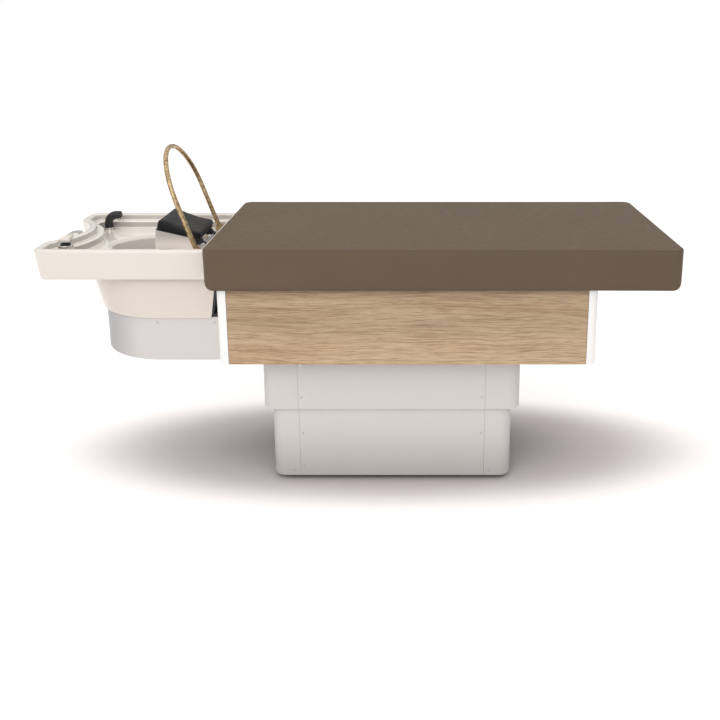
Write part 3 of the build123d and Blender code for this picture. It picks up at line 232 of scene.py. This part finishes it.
finishes = {
    "dark_steel": {"color": (0.045, 0.045, 0.05), "rough": (0.42, 0.55), "bump": 0.0003, "grainScale": 700},
    "pad_rubber": {"color": (0.008, 0.008, 0.008), "rough": (0.7, 0.85), "bump": 0.0004, "grainScale": 500},
    "screw_steel": {"color": (0.52, 0.52, 0.53), "rough": (0.28, 0.4), "metal": 1, "bump": 0.0001,
                    "grainScale": 1500},
    # The cover paint darkens towards the floor: painted shade from the floor's shadow.
    "cover_paint": {"color": (0.72, 0.68, 0.66), "rough": (0.36, 0.46), "spread": 0.012, "cloudScale": 3,
                    "fade": {"axis": 2, "from": 0.24, "to": 0.0, "tone": (0.74, 0.735, 0.73)},
                    "bump": 0.0002, "grainScale": 650, "bumpStrength": 0.25},
    # The shroud paint turns darker and bluer towards its left end: painted shade where its curve turns from
    # the light.
    "shroud_paint": {"color": (0.69, 0.65, 0.635), "rough": (0.33, 0.42), "spread": 0.012, "cloudScale": 4,
                     "fade": {"axis": 0, "from": -0.70, "to": -0.885, "tone": (0.51, 0.565, 0.605)},
                     "bump": 0.0002, "grainScale": 650, "bumpStrength": 0.25},
    "column_metal": {"color": (0.62, 0.63, 0.64), "rough": (0.28, 0.42), "metal": 1, "stretch": (1, 1, 0.02),
                     "grainScale": 600, "bump": 0.0001},
    "black_plastic": {"color": (0.02, 0.02, 0.021), "rough": (0.45, 0.6), "bump": 0.0003, "grainScale": 900},
    "frame_paint": {"color": (0.04, 0.04, 0.043), "rough": (0.4, 0.5), "bump": 0.0003, "grainScale": 600},
    "end_white": {"color": (0.97, 0.965, 0.96), "rough": (0.3, 0.38), "spread": 0.008, "cloudScale": 3,
                  "bump": 0.0001, "grainScale": 700, "bumpStrength": 0.2},
    "black_metal": {"color": (0.075, 0.075, 0.078), "rough": (0.3, 0.42), "bump": 0.0003, "grainScale": 600,
                    "fade": {"axis": 2, "from": 0.594, "to": 0.591, "tone": (0.1, 0.1, 0.1)}},
    "pin_steel": {"color": (0.58, 0.58, 0.59), "rough": (0.22, 0.34), "metal": 1, "stretch": (1, 0.04, 1),
                  "grainScale": 900, "bump": 0.0001},
    "shell_white": {"color": (0.745, 0.675, 0.61), "rough": (0.14, 0.2), "spread": 0.01, "cloudScale": 2.5,
                    "coat": 0.4, "coatRough": 0.06},
    "chrome": {"color": (0.60, 0.575, 0.54), "rough": (0.08, 0.18), "metal": 1, "spread": 0.16,
               "cloudScale": 45},
    "trap_white": {"color": (0.72, 0.72, 0.71), "rough": (0.3, 0.42), "bump": 0.0002, "grainScale": 500},
    "shower_black": {"color": (0.012, 0.012, 0.013), "rough": (0.34, 0.46), "bump": 0.0002,
                     "grainScale": 1200},
}
materials = {name: plainFinish(name, look) for name, look in finishes.items()}
print("plain finishes made:", len(materials))


# Glazed basin with painted light and shade: a painted highlight on its flat steps, painted shade on the
# inner walls, in the bowl and on the neck block under the pad

basinLook = {"color": (0.79, 0.735, 0.68), "spread": 0.01, "cloudScale": 2.5, "cloudDetail": 4,
             "cloudRough": 0.5, "smearScale": 14, "smearDetail": 5, "rough": (0.09, 0.15),
             "coat": 0.6, "coatRough": 0.04,
             # Tones that multiply the glaze colour by height: the step tone is a painted highlight, the
             # wall, lip wall and bowl tones are painted shade.
             "step": (1.2, 1.2, 1.2), "wallShade": (0.70, 0.71, 0.725), "lipWallShade": (0.57, 0.575, 0.585),
             "slope": (1.0, 1.0, 1.0), "bowlShade": (0.80, 0.80, 0.815),
             "deckHeight": 0.775, "lipHeight": 0.800, "rimHeight": 0.822,
             "aroundDeck": ((-0.03, "bowlShade"), (-0.016, "bowlShade"), (-0.008, "slope"), (-0.003, "slope"),
                            (-0.001, "step"), (0.0008, "step"), (0.004, "lipWallShade")),
             "aroundLip": ((-0.006, "lipWallShade"), (-0.002, "step"), (0.001, "step"), (0.003, "wallShade")),
             "aroundRim": ((-0.006, "wallShade"), (-0.001, "step")),
             "side": 0.2595, "tip": -1.004, "notchMiddle": -1.178, "notchRadius": 0.245,
             # The neck block is lighter at its foot and darker towards its top: a painted highlight at the
             # foot, painted shade under the pad.
             "blockStart": -0.712, "blockEnd": -0.548, "blockSide": 0.102, "blockFoot": 0.001,
             "blockTop": 0.84, "blockShares": (0.3, 0.8), "blockFootHighlight": (1.05, 1.05, 1.05),
             "blockTopShade": (0.66, 0.665, 0.68), "beyond": 2}  # beyond is a place past the whole basin


# 1 where the value lies between low and high, with a narrow soft edge, and 0 elsewhere

def maskOf(tree, value, low, high, edge=0.001):
    above = rangeOf(tree, value, 0, 1, low - edge, low + edge)
    return productOf(tree, above, rangeOf(tree, value, 1, 0, high - edge, high + edge))


def toneMix(tree, mask, outside, shadedInside):
    mix = tree.nodes.new("ShaderNodeMix")
    mix.data_type = "RGBA"
    tree.links.new(mask, mix.inputs["Factor"])
    for socket, tone in ((mix.inputs[6], outside), (mix.inputs[7], shadedInside)):
        if isinstance(tone, tuple):
            socket.default_value = (*tone, 1)
        else:
            tree.links.new(tone, socket)
    return mix.outputs[2]


def basinFinish(name, look):
    material, tree, shader = newMaterial(name)
    vector = objectCoords(tree)
    color = cloudedColor(tree, vector, look)
    along, across, height = (axisOf(tree, axis) for axis in range(3))
    across = mathOn(tree, "ABSOLUTE", across)
    deck, rim, beyond = look["deckHeight"], look["rimHeight"], look["beyond"]
    # Painted shade bands by height, with a painted highlight on the steps.
    levels = ((deck, "aroundDeck"), (look["lipHeight"], "aroundLip"), (rim, "aroundRim"))
    tones = [(level + offset, look[part]) for level, around in levels for offset, part in look[around]]
    tone = heightTones(tree, height, tones, rim)
    fromNotch = mathOn(tree, "SUBTRACT", along, look["notchMiddle"])
    squares = [productOf(tree, leg, leg) for leg in (fromNotch, across)]
    reach = mathOn(tree, "SQRT", mathOn(tree, "ADD", *squares))
    # The interior of the basin, where the painted shade bands go.
    shadedInside = productOf(tree, maskOf(tree, across, -beyond, look["side"]),
                       maskOf(tree, along, look["tip"], beyond),
                       maskOf(tree, reach, look["notchRadius"], beyond))
    # The neck block, which gets its own painted shade and highlight.
    blockShadeMask = productOf(tree, maskOf(tree, across, -beyond, look["blockSide"]),
                        maskOf(tree, along, look["blockStart"], look["blockEnd"]),
                        maskOf(tree, height, deck + look["blockFoot"], beyond))
    upBlock = rangeOf(tree, height, 0, 1, deck, look["blockTop"])
    blockShade = rampOf(tree, upBlock, tuple(zip(look["blockShares"], (look["blockFootHighlight"], look["blockTopShade"]))))
    tone = toneMix(tree, blockShadeMask, toneMix(tree, shadedInside, white, tone), blockShade)
    tree.links.new(multiplied(tree, color, tone), shader.inputs["Base Color"])
    smearedRoughness(tree, shader, vector, look)
    shader.inputs["Coat Weight"].default_value = look["coat"]
    shader.inputs["Coat Roughness"].default_value = look["coatRough"]
    return material


materials["basin_white"] = basinFinish("basin_white", basinLook)


# Oak of the side panels: long fibres along X that drift up and down a little, over soft growth bands.
# A fibre layer is stretch, scale, middle, half width and tone; a height-shade row is a height and its tone,
# painted light and shade over the panel's height, darkest at the top as painted shadow under the mattress

oakLook = {"light": (0.575, 0.425, 0.28), "mid": (0.51, 0.36, 0.222), "bandStretch": (0.25, 1.0, 3.2),
           "bandScale": 5.0, "bandDetail": 3, "bandRough": 0.6, "bandWarp": 0.8, "bandStops": (0.36, 0.56),
           "drift": 0.05, "driftScale": 2.4, "driftDetail": 1, "fibreDetail": 2,
           "fibres": (((0.018, 1, 1), 330, 0.43, 0.07, (0.77, 0.73, 0.69)),
                      ((0.024, 1, 1), 560, 0.42, 0.05, (0.74, 0.69, 0.65)),
                      ((0.03, 1, 1), 950, 0.42, 0.06, (0.80, 0.76, 0.72))),
           "rough": (0.42, 0.58), "specular": 0.3, "poreDepth": 0.0004, "poreStrength": 0.35,
           # Height tones paint light and shade over the panel, darkest at the top as painted shadow under
           # the mattress.
           "heightShade": ((0.488, 1.09), (0.525, 1.08), (0.56, 0.97), (0.60, 0.90), (0.65, 0.92), (0.67, 0.97),
                    (0.69, 0.86), (0.705, 0.70), (0.717, 0.58))}


def oakFinish(name, look):
    material, tree, shader = newMaterial(name)
    coords = tree.nodes.new("ShaderNodeTexCoord")
    slow = tree.nodes.new("ShaderNodeTexNoise")
    slow.inputs["Scale"].default_value = look["driftScale"]
    slow.inputs["Detail"].default_value = look["driftDetail"]
    tree.links.new(coords.outputs["Object"], slow.inputs["Vector"])
    drift = vectorMath(tree, "MULTIPLY_ADD", slow.outputs["Color"], (0, 0, look["drift"]))
    tree.links.new(coords.outputs["Object"], drift.inputs[2])

    def stretched(stretch):
        mapping = tree.nodes.new("ShaderNodeMapping")
        mapping.inputs["Scale"].default_value = stretch
        tree.links.new(drift.outputs[0], mapping.inputs["Vector"])
        return mapping.outputs["Vector"]

    bands = noiseOn(tree, stretched(look["bandStretch"]), look["bandScale"], look["bandDetail"],
                    look["bandRough"], look["bandWarp"])
    color = rampOf(tree, bands, tuple(zip(look["bandStops"], (look["mid"], look["light"]))))
    for stretch, scale, middle, half, tone in look["fibres"]:
        fibre = noiseOn(tree, stretched(stretch), scale, look["fibreDetail"])
        lines = rampOf(tree, fibre, ((middle - half, tone), (middle + half, white)))
        color = multiplied(tree, color, lines)
    # Painted light and shade by height.
    tones = [(level, (tone, tone, tone)) for level, tone in look["heightShade"]]
    heightShade = heightTones(tree, axisOf(tree, 2), tones, tones[-1][0])
    tree.links.new(multiplied(tree, color, heightShade), shader.inputs["Base Color"])
    smooth, dull = look["rough"]  # the dark of the finest fibres is the dull side
    tree.links.new(rangeOf(tree, fibre, dull, smooth), shader.inputs["Roughness"])
    shader.inputs["Specular IOR Level"].default_value = look["specular"]
    bumpOn(tree, shader, fibre, look["poreDepth"], look["poreStrength"])
    return material


materials["side_wood"] = oakFinish("side_wood", oakLook)
boardLook = dict(oakLook, light=(0.58, 0.44, 0.28), mid=(0.53, 0.39, 0.24), rough=(0.6, 0.75),
                 heightShade=((0, 1), (1, 1)))  # one tone over the whole height
materials["board_wood"] = oakFinish("board_wood", boardLook)


# Brass of the arch: warm tube with small dull patches and shallow dimples

brassLook = {"light": (0.66, 0.50, 0.29), "dark": (0.26, 0.18, 0.10), "patchScale": 110, "patchDetail": 4,
             "patchRough": 0.6, "patchWarp": 0.6, "patchStops": (0.32, 0.62), "rough": (0.26, 0.46),
             "dimpleScale": 160, "dimpleDetail": 3, "dimpleDepth": 0.0006, "dimpleStrength": 0.4}


def brassFinish(name, look):
    material, tree, shader = newMaterial(name)
    vector = objectCoords(tree)
    patches = noiseOn(tree, vector, look["patchScale"], look["patchDetail"], look["patchRough"],
                      look["patchWarp"])
    color = rampOf(tree, patches, tuple(zip(look["patchStops"], (look["dark"], look["light"]))))
    tree.links.new(color, shader.inputs["Base Color"])
    smooth, dull = look["rough"]
    tree.links.new(rangeOf(tree, patches, dull, smooth), shader.inputs["Roughness"])
    shader.inputs["Metallic"].default_value = 1
    dimples = noiseOn(tree, vector, look["dimpleScale"], look["dimpleDetail"])
    bumpOn(tree, shader, dimples, look["dimpleDepth"], look["dimpleStrength"])
    return material


materials["brass"] = brassFinish("brass", brassLook)


# Upholstery: fine leather grain with small creases, one look for the mattress and one for the neck pad

hideBasics = {"cloudScale": 5, "cloudDetail": 4, "cloudRough": 0.55, "smearScale": 40, "smearDetail": 4,
              "valleyTone": (0.82, 0.82, 0.82), "valleyWidth": 0.18, "valleyShare": 0.5,
              "creaseDetail": 5, "creaseRough": 0.55, "creaseWarp": 0.3, "creaseDepth": 0.0002,
              "creaseStrength": 0.35, "grainReach": 0.25, "grainStrength": 0.5, "sheenRough": 0.45}
mattressHide = dict(hideBasics, color=(0.142, 0.105, 0.071), spread=0.03, rough=(0.50, 0.62), grain=620,
                    grainDepth=0.00022, crease=30, sheen=0.01, specular=0.1)
padHide = dict(hideBasics, color=(0.012, 0.012, 0.013), spread=0.15, rough=(0.36, 0.5), grain=800,
               grainDepth=0.00018, crease=60, sheen=0.0, specular=0.17)


def hideFinish(name, look):
    material, tree, shader = newMaterial(name)
    vector = objectCoords(tree)
    color = cloudedColor(tree, vector, look)
    cells = tree.nodes.new("ShaderNodeTexVoronoi")
    cells.feature = "DISTANCE_TO_EDGE"
    cells.inputs["Scale"].default_value = look["grain"]
    tree.links.new(vector, cells.inputs["Vector"])
    fromValley = cells.outputs["Distance"]
    valley = rampOf(tree, fromValley, ((0, look["valleyTone"]), (look["valleyWidth"], white)))
    color = multiplied(tree, color, valley, look["valleyShare"])
    tree.links.new(color, shader.inputs["Base Color"])
    smearedRoughness(tree, shader, vector, look)
    shader.inputs["Sheen Weight"].default_value = look["sheen"]
    shader.inputs["Sheen Roughness"].default_value = look["sheenRough"]
    shader.inputs["Specular IOR Level"].default_value = look["specular"]
    folds = noiseOn(tree, vector, look["crease"], look["creaseDetail"], look["creaseRough"],
                    look["creaseWarp"])
    creases = bumpOn(tree, shader, folds, look["creaseDepth"], look["creaseStrength"])
    grain = rangeOf(tree, fromValley, 0, 1, 0, look["grainReach"])
    bumpOn(tree, shader, grain, look["grainDepth"], look["grainStrength"], creases)
    return material


materials["mattress_leather"] = hideFinish("mattress_leather", mattressHide)
materials["pad_black"] = hideFinish("pad_black", padHide)
print("special finishes made")

slotOf = {row["node"]: row["material_slot"] for row in frame["record"]["subparts"]}
for nodeName, nodeObject in frame["nodes"].items():
    nodeObject.data.materials.clear()
    nodeObject.data.materials.append(materials[slotOf[nodeName]])
print("finishes on", len(frame["nodes"]), "frame nodes")


# Floor and lights: white studio floor that keeps the shadow, with a painted shadow near the object, a
# painted glow that whitens the floor only past an elliptical shadow pool, and painted shade in the floor's
# bounce near the object; broad soft light from above and in front

# The shade colour is painted shadow near the object; the pool values shape the painted shadow pool past
# which the glow whitens the floor; the near bounce colour is painted shade in the light the floor bounces.
studio = {"floorSize": 60.0, "floorColor": (0.69, 0.635, 0.63), "shadeColor": (0.46, 0.425, 0.425),
          "shadeStart": 0.13, "shadeEnd": 0.32, "shadedBounceNear": (0.5, 0.48, 0.47),
          "bounceFar": (0.84, 0.825, 0.815), "shadowPoolShift": (-0.1, 0, 0), "shadowPoolShape": (0.36, 1, 1),
          "shadowPoolStart": 0.28, "shadowPoolEnd": 0.48, "paintedFloorGlow": 0.5, "backdropStrength": 1,
          "lightTint": (1, 0.99, 0.975), "horizon": 0.42, "zenith": 1.25,
          "key": {"place": (-0.8, -3.7, 2.6), "aim": (0, 0, 0.6), "size": (3.0, 2.4), "power": 45}}


# 1 on what the camera sees, and on the other kinds of ray that are named

def raysOf(tree, *kinds):
    path = tree.nodes.new("ShaderNodeLightPath")
    seen = path.outputs["Is Camera Ray"]
    for kind in kinds:
        seen = mathOn(tree, "MAXIMUM", seen, path.outputs[kind])
    return seen


def splitByRay(tree, output, seen, others, *kinds):
    mix = tree.nodes.new("ShaderNodeMixShader")
    tree.links.new(raysOf(tree, *kinds), mix.inputs[0])
    tree.links.new(others.outputs[0], mix.inputs[1])
    tree.links.new(seen.outputs[0], mix.inputs[2])
    tree.links.new(mix.outputs[0], output.inputs[0])


def makeFloor(look):
    mesh = bpy.data.meshes.new("studioFloor")
    shape = bmesh.new()
    bmesh.ops.create_grid(shape, x_segments=1, y_segments=1, size=look["floorSize"] / 2)
    shape.to_mesh(mesh)
    shape.free()
    floor = bpy.data.objects.new("studioFloor", mesh)
    bpy.context.collection.objects.link(floor)
    material = bpy.data.materials.new("studioFloor")
    material.use_nodes = True
    tree = material.node_tree
    tree.nodes.clear()
    output = tree.nodes.new("ShaderNodeOutputMaterial")
    diffuse = tree.nodes.new("ShaderNodeBsdfDiffuse")
    paintedFloorGlow = tree.nodes.new("ShaderNodeEmission")
    paintedFloorGlow.inputs["Color"].default_value = (*white, 1)
    coords = tree.nodes.new("ShaderNodeTexCoord")
    shifted = vectorMath(tree, "ADD", coords.outputs["Object"], look["shadowPoolShift"])
    narrow = vectorMath(tree, "MULTIPLY", shifted.outputs["Vector"], look["shadowPoolShape"])
    distance = vectorMath(tree, "LENGTH", narrow.outputs["Vector"]).outputs["Value"]
    # 0 inside the painted shadow pool and 1 past it, where the painted glow whitens the floor.
    pastShadowPool = rangeOf(tree, distance, 0, 1, look["shadowPoolStart"], look["shadowPoolEnd"], True)
    # Painted shadow: the floor colour darkens towards the object.
    shadowFade = rangeOf(tree, distance, 0, 1, look["shadeStart"], look["shadeEnd"], True)
    shaded = rampOf(tree, shadowFade, ((0, look["shadeColor"]), (1, look["floorColor"])))
    tree.links.new(shaded, diffuse.inputs["Color"])
    tree.links.new(mathOn(tree, "MULTIPLY", pastShadowPool, look["paintedFloorGlow"]), paintedFloorGlow.inputs["Strength"])
    both = tree.nodes.new("ShaderNodeAddShader")
    tree.links.new(diffuse.outputs[0], both.inputs[0])
    tree.links.new(paintedFloorGlow.outputs[0], both.inputs[1])
    plain = tree.nodes.new("ShaderNodeBsdfDiffuse")
    # Painted shade in the bounced light: the floor bounces less light near the object.
    bounced = rampOf(tree, pastShadowPool, ((0, look["shadedBounceNear"]), (1, look["bounceFar"])))
    tree.links.new(bounced, plain.inputs["Color"])
    splitByRay(tree, output, both, plain, "Is Glossy Ray")
    mesh.materials.append(material)


def makeWorld(look):
    world = bpy.data.worlds.new("studioWorld")
    bpy.context.scene.world = world
    world.use_nodes = True
    tree = world.node_tree
    tree.nodes.clear()
    output = tree.nodes.new("ShaderNodeOutputWorld")
    seen = tree.nodes.new("ShaderNodeBackground")
    seen.inputs["Color"].default_value = (*white, 1)
    seen.inputs["Strength"].default_value = look["backdropStrength"]
    light = tree.nodes.new("ShaderNodeBackground")
    light.inputs["Color"].default_value = (*look["lightTint"], 1)
    coords = tree.nodes.new("ShaderNodeTexCoord")
    split = tree.nodes.new("ShaderNodeSeparateXYZ")
    tree.links.new(coords.outputs["Generated"], split.inputs[0])
    height = rangeOf(tree, split.outputs["Z"], look["horizon"], look["zenith"], 0, 1)
    tree.links.new(height, light.inputs["Strength"])
    splitByRay(tree, output, seen, light)


def makeLamp(name, look):
    data = bpy.data.lights.new(name, "AREA")
    data.shape = "RECTANGLE"
    data.size, data.size_y = look["size"]
    data.energy = look["power"]
    lamp = bpy.data.objects.new(name, data)
    lamp.location = look["place"]
    aim = Vector(look["aim"]) - Vector(look["place"])
    lamp.rotation_mode = "QUATERNION"
    lamp.rotation_quaternion = aim.to_track_quat("-Z", "Y")
    bpy.context.collection.objects.link(lamp)


makeFloor(studio)
makeWorld(studio)
makeLamp("keyLamp", studio["key"])
print("studio lit")

# Soft pieces: a shaped block that is blown up a little as cloth, then drawn in along its seams

mergeGap = 1e-5
cutGap = 1e-6


def cutAcross(shape, place, normal):
    everything = shape.verts[:] + shape.edges[:] + shape.faces[:]
    bmesh.ops.bisect_plane(shape, geom=everything, dist=cutGap, plane_co=place, plane_no=normal)


def blockShape(look):
    shape = bmesh.new()
    length, width, height = look["size"]
    bmesh.ops.create_cube(shape, size=1, matrix=Matrix.Diagonal((length, width, height, 1)))
    upright = [edge for edge in shape.edges if abs(edge.verts[0].co.z - edge.verts[1].co.z) > height / 2]
    bmesh.ops.bevel(shape, geom=upright, offset=look["corner"], offset_type="OFFSET", affect="EDGES",
                    segments=look["cornerSteps"], profile=0.5, material=-1)
    for level, rounding in ((1, look["topRound"]), (-1, look["bottomRound"])):
        outline = [edge for edge in shape.edges
                   if all(vertex.co.z * level > height / 2 - mergeGap for vertex in edge.verts)]
        bmesh.ops.bevel(shape, geom=outline, offset=rounding, offset_type="OFFSET", affect="EDGES",
                        segments=look["roundSteps"], profile=0.5, material=-1)
    for axis, (extent, step) in enumerate(zip(look["size"], look["steps"])):
        normal = [0, 0, 0]
        normal[axis] = 1
        reach = extent / 2 - (look["corner"] if axis < 2 else look["bottomRound"])
        count = max(1, round(2 * reach / step))
        for index in range(count + 1):
            place = [0, 0, 0]
            place[axis] = -reach + 2 * reach * index / count
            cutAcross(shape, place, normal)
    bmesh.ops.remove_doubles(shape, verts=shape.verts[:], dist=mergeGap)
    return shape


def applyModifiers(piece):
    graph = bpy.context.evaluated_depsgraph_get()
    graph.update()
    mesh = bpy.data.meshes.new_from_object(piece.evaluated_get(graph))
    piece.modifiers.clear()
    old = piece.data
    piece.data = mesh
    bpy.data.meshes.remove(old)


def addPiece(name, shape, body, slot):
    mesh = bpy.data.meshes.new(name)
    bmesh.ops.recalc_face_normals(shape, faces=shape.faces[:])
    shape.to_mesh(mesh)
    shape.free()
    piece = bpy.data.objects.new(name, mesh)
    bpy.context.collection.objects.link(piece)
    mesh.materials.append(materials[slot])
    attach(piece, body)
    return piece


clothLook = {"quality": 5, "mass": 0.3, "frames": 20}


def puffUp(piece, look):
    start = [vertex.co.copy() for vertex in piece.data.vertices]
    cloth = piece.modifiers.new("fill", "CLOTH")
    settings = cloth.settings
    settings.quality = clothLook["quality"]
    settings.mass = clothLook["mass"]
    settings.tension_stiffness = settings.compression_stiffness = look["stiffness"]
    settings.bending_stiffness = look["bending"]
    settings.use_pressure = True
    settings.uniform_pressure_force = look["pressure"]
    settings.effector_weights.gravity = 0
    cloth.point_cache.frame_start = 1
    cloth.point_cache.frame_end = clothLook["frames"]
    for moment in range(1, clothLook["frames"] + 1):
        bpy.context.scene.frame_set(moment)
    applyModifiers(piece)
    bpy.context.scene.frame_set(1)
    for vertex, was in zip(piece.data.vertices, start):
        move = vertex.co - was
        if move.length > look["cap"]:
            move *= look["cap"] / move.length
        vertex.co = was + move


def smoothPiece(piece, passes, strength=0.5):
    shape = bmesh.new()
    shape.from_mesh(piece.data)
    for _ in range(passes):
        bmesh.ops.smooth_vert(shape, verts=shape.verts[:], factor=strength,
                              use_axis_x=True, use_axis_y=True, use_axis_z=True)
    shape.to_mesh(piece.data)
    shape.free()


def sewSeams(piece, look):
    shape = bmesh.new()
    shape.from_mesh(piece.data)
    for height in look["seams"]:
        for offset in (-look["seamHalf"], 0, look["seamHalf"]):
            cutAcross(shape, (0, 0, height + offset), (0, 0, 1))
        shape.normal_update()
        pulled = [(vertex, vertex.normal.copy()) for vertex in shape.verts
                  if abs(vertex.co.z - height) < mergeGap]
        for vertex, normal in pulled:
            vertex.co -= normal * look["seamDepth"]
    shape.to_mesh(piece.data)
    shape.free()


# 0 at low and 1 at high, with a gentle start and end

def between(value, low, high):
    share = min(1, max(0, (value - low) / (high - low)))
    return share * share * (3 - 2 * share)


# The long edges hang a little below the frame's top, outside its wooden sides

def sagSides(piece, sag):
    for vertex in piece.data.vertices:
        outside = between(abs(vertex.co.y), sag["inner"], sag["outer"])
        vertex.co.z -= sag["depth"] * outside * between(vertex.co.z, sag["from"], sag["to"])


# Height of the top along the cushion: (place from the middle, height over the underside)

def contourTop(piece, look):
    tall = look["size"][2]
    tops = look["tops"]
    for vertex in piece.data.vertices:
        along = min(tops[-1][0], max(tops[0][0], vertex.co.x))
        for (low, first), (high, second) in zip(tops, tops[1:]):
            if low <= along <= high:
                top = first + (second - first) * between(along, low, high)
        vertex.co.z = (vertex.co.z + tall / 2) * top / tall - tall / 2


def makeCushion(name, look, node, body, slot):
    piece = addPiece(name, blockShape(look), body, slot)
    puffUp(piece, look)
    smoothPiece(piece, look["smooth"])
    finer = piece.modifiers.new("finer", "SUBSURF")
    finer.levels = finer.render_levels = 1
    applyModifiers(piece)
    if "seams" in look:
        sewSeams(piece, look)
    if "tops" in look:
        contourTop(piece, look)
    piece.data.transform(look["place"])
    for vertex in piece.data.vertices:
        vertex.co.z = max(vertex.co.z, look["floor"])
    if "sag" in look:
        sagSides(piece, look["sag"])
    for polygon in piece.data.polygons:
        polygon.use_smooth = True
    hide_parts(node)
    return piece


mattressLook = {"size": (1.5, 0.753, 0.129), "corner": 0.034, "cornerSteps": 8, "topRound": 0.006,
                "bottomRound": 0.018, "roundSteps": 4, "steps": (0.022, 0.022, 0.02), "stiffness": 25,
                "bending": 0.5, "pressure": 4, "cap": 0.0042, "smooth": 0, "seams": (0.0615,),
                "seamHalf": 0.0011, "seamDepth": 0.0011, "floor": 0.7173, "fill": 0.95,
                "sag": {"inner": 0.349, "outer": 0.364, "depth": 0.0065, "from": 0.80, "to": 0.725},
                "place": Matrix.Translation((0.2812, 0, 0.7818))}
mattressPiece = makeCushion("mattressCover", mattressLook, "mattress", "bed_top", "mattress_leather")
print("mattress made with", len(mattressPiece.data.polygons), "faces")

padTilt = Matrix.Rotation(math.radians(13.23), 4, "Y")
neckLook = {"size": (0.151, 0.217, 0.0305), "corner": 0.016, "cornerSteps": 6, "topRound": 0.009,
            "bottomRound": 0.003, "roundSteps": 4, "steps": (0.006, 0.006, 0.006), "stiffness": 20,
            "bending": 0.5, "pressure": 4, "cap": 0.0028, "smooth": 2, "floor": 0, "fill": 0.9,
            "tops": ((-0.075, 0.031), (-0.045, 0.028), (-0.01, 0.0225), (0.02, 0.0185), (0.045, 0.0185),
                     (0.065, 0.0195)),
            "place": Matrix.Translation((-0.60169, 0, 0.8478)) @ padTilt}
neckPiece = makeCushion("neckCushion", neckLook, "neck_pad", "neck_rest", "pad_black")
print("neck cushion made with", len(neckPiece.data.polygons), "faces")
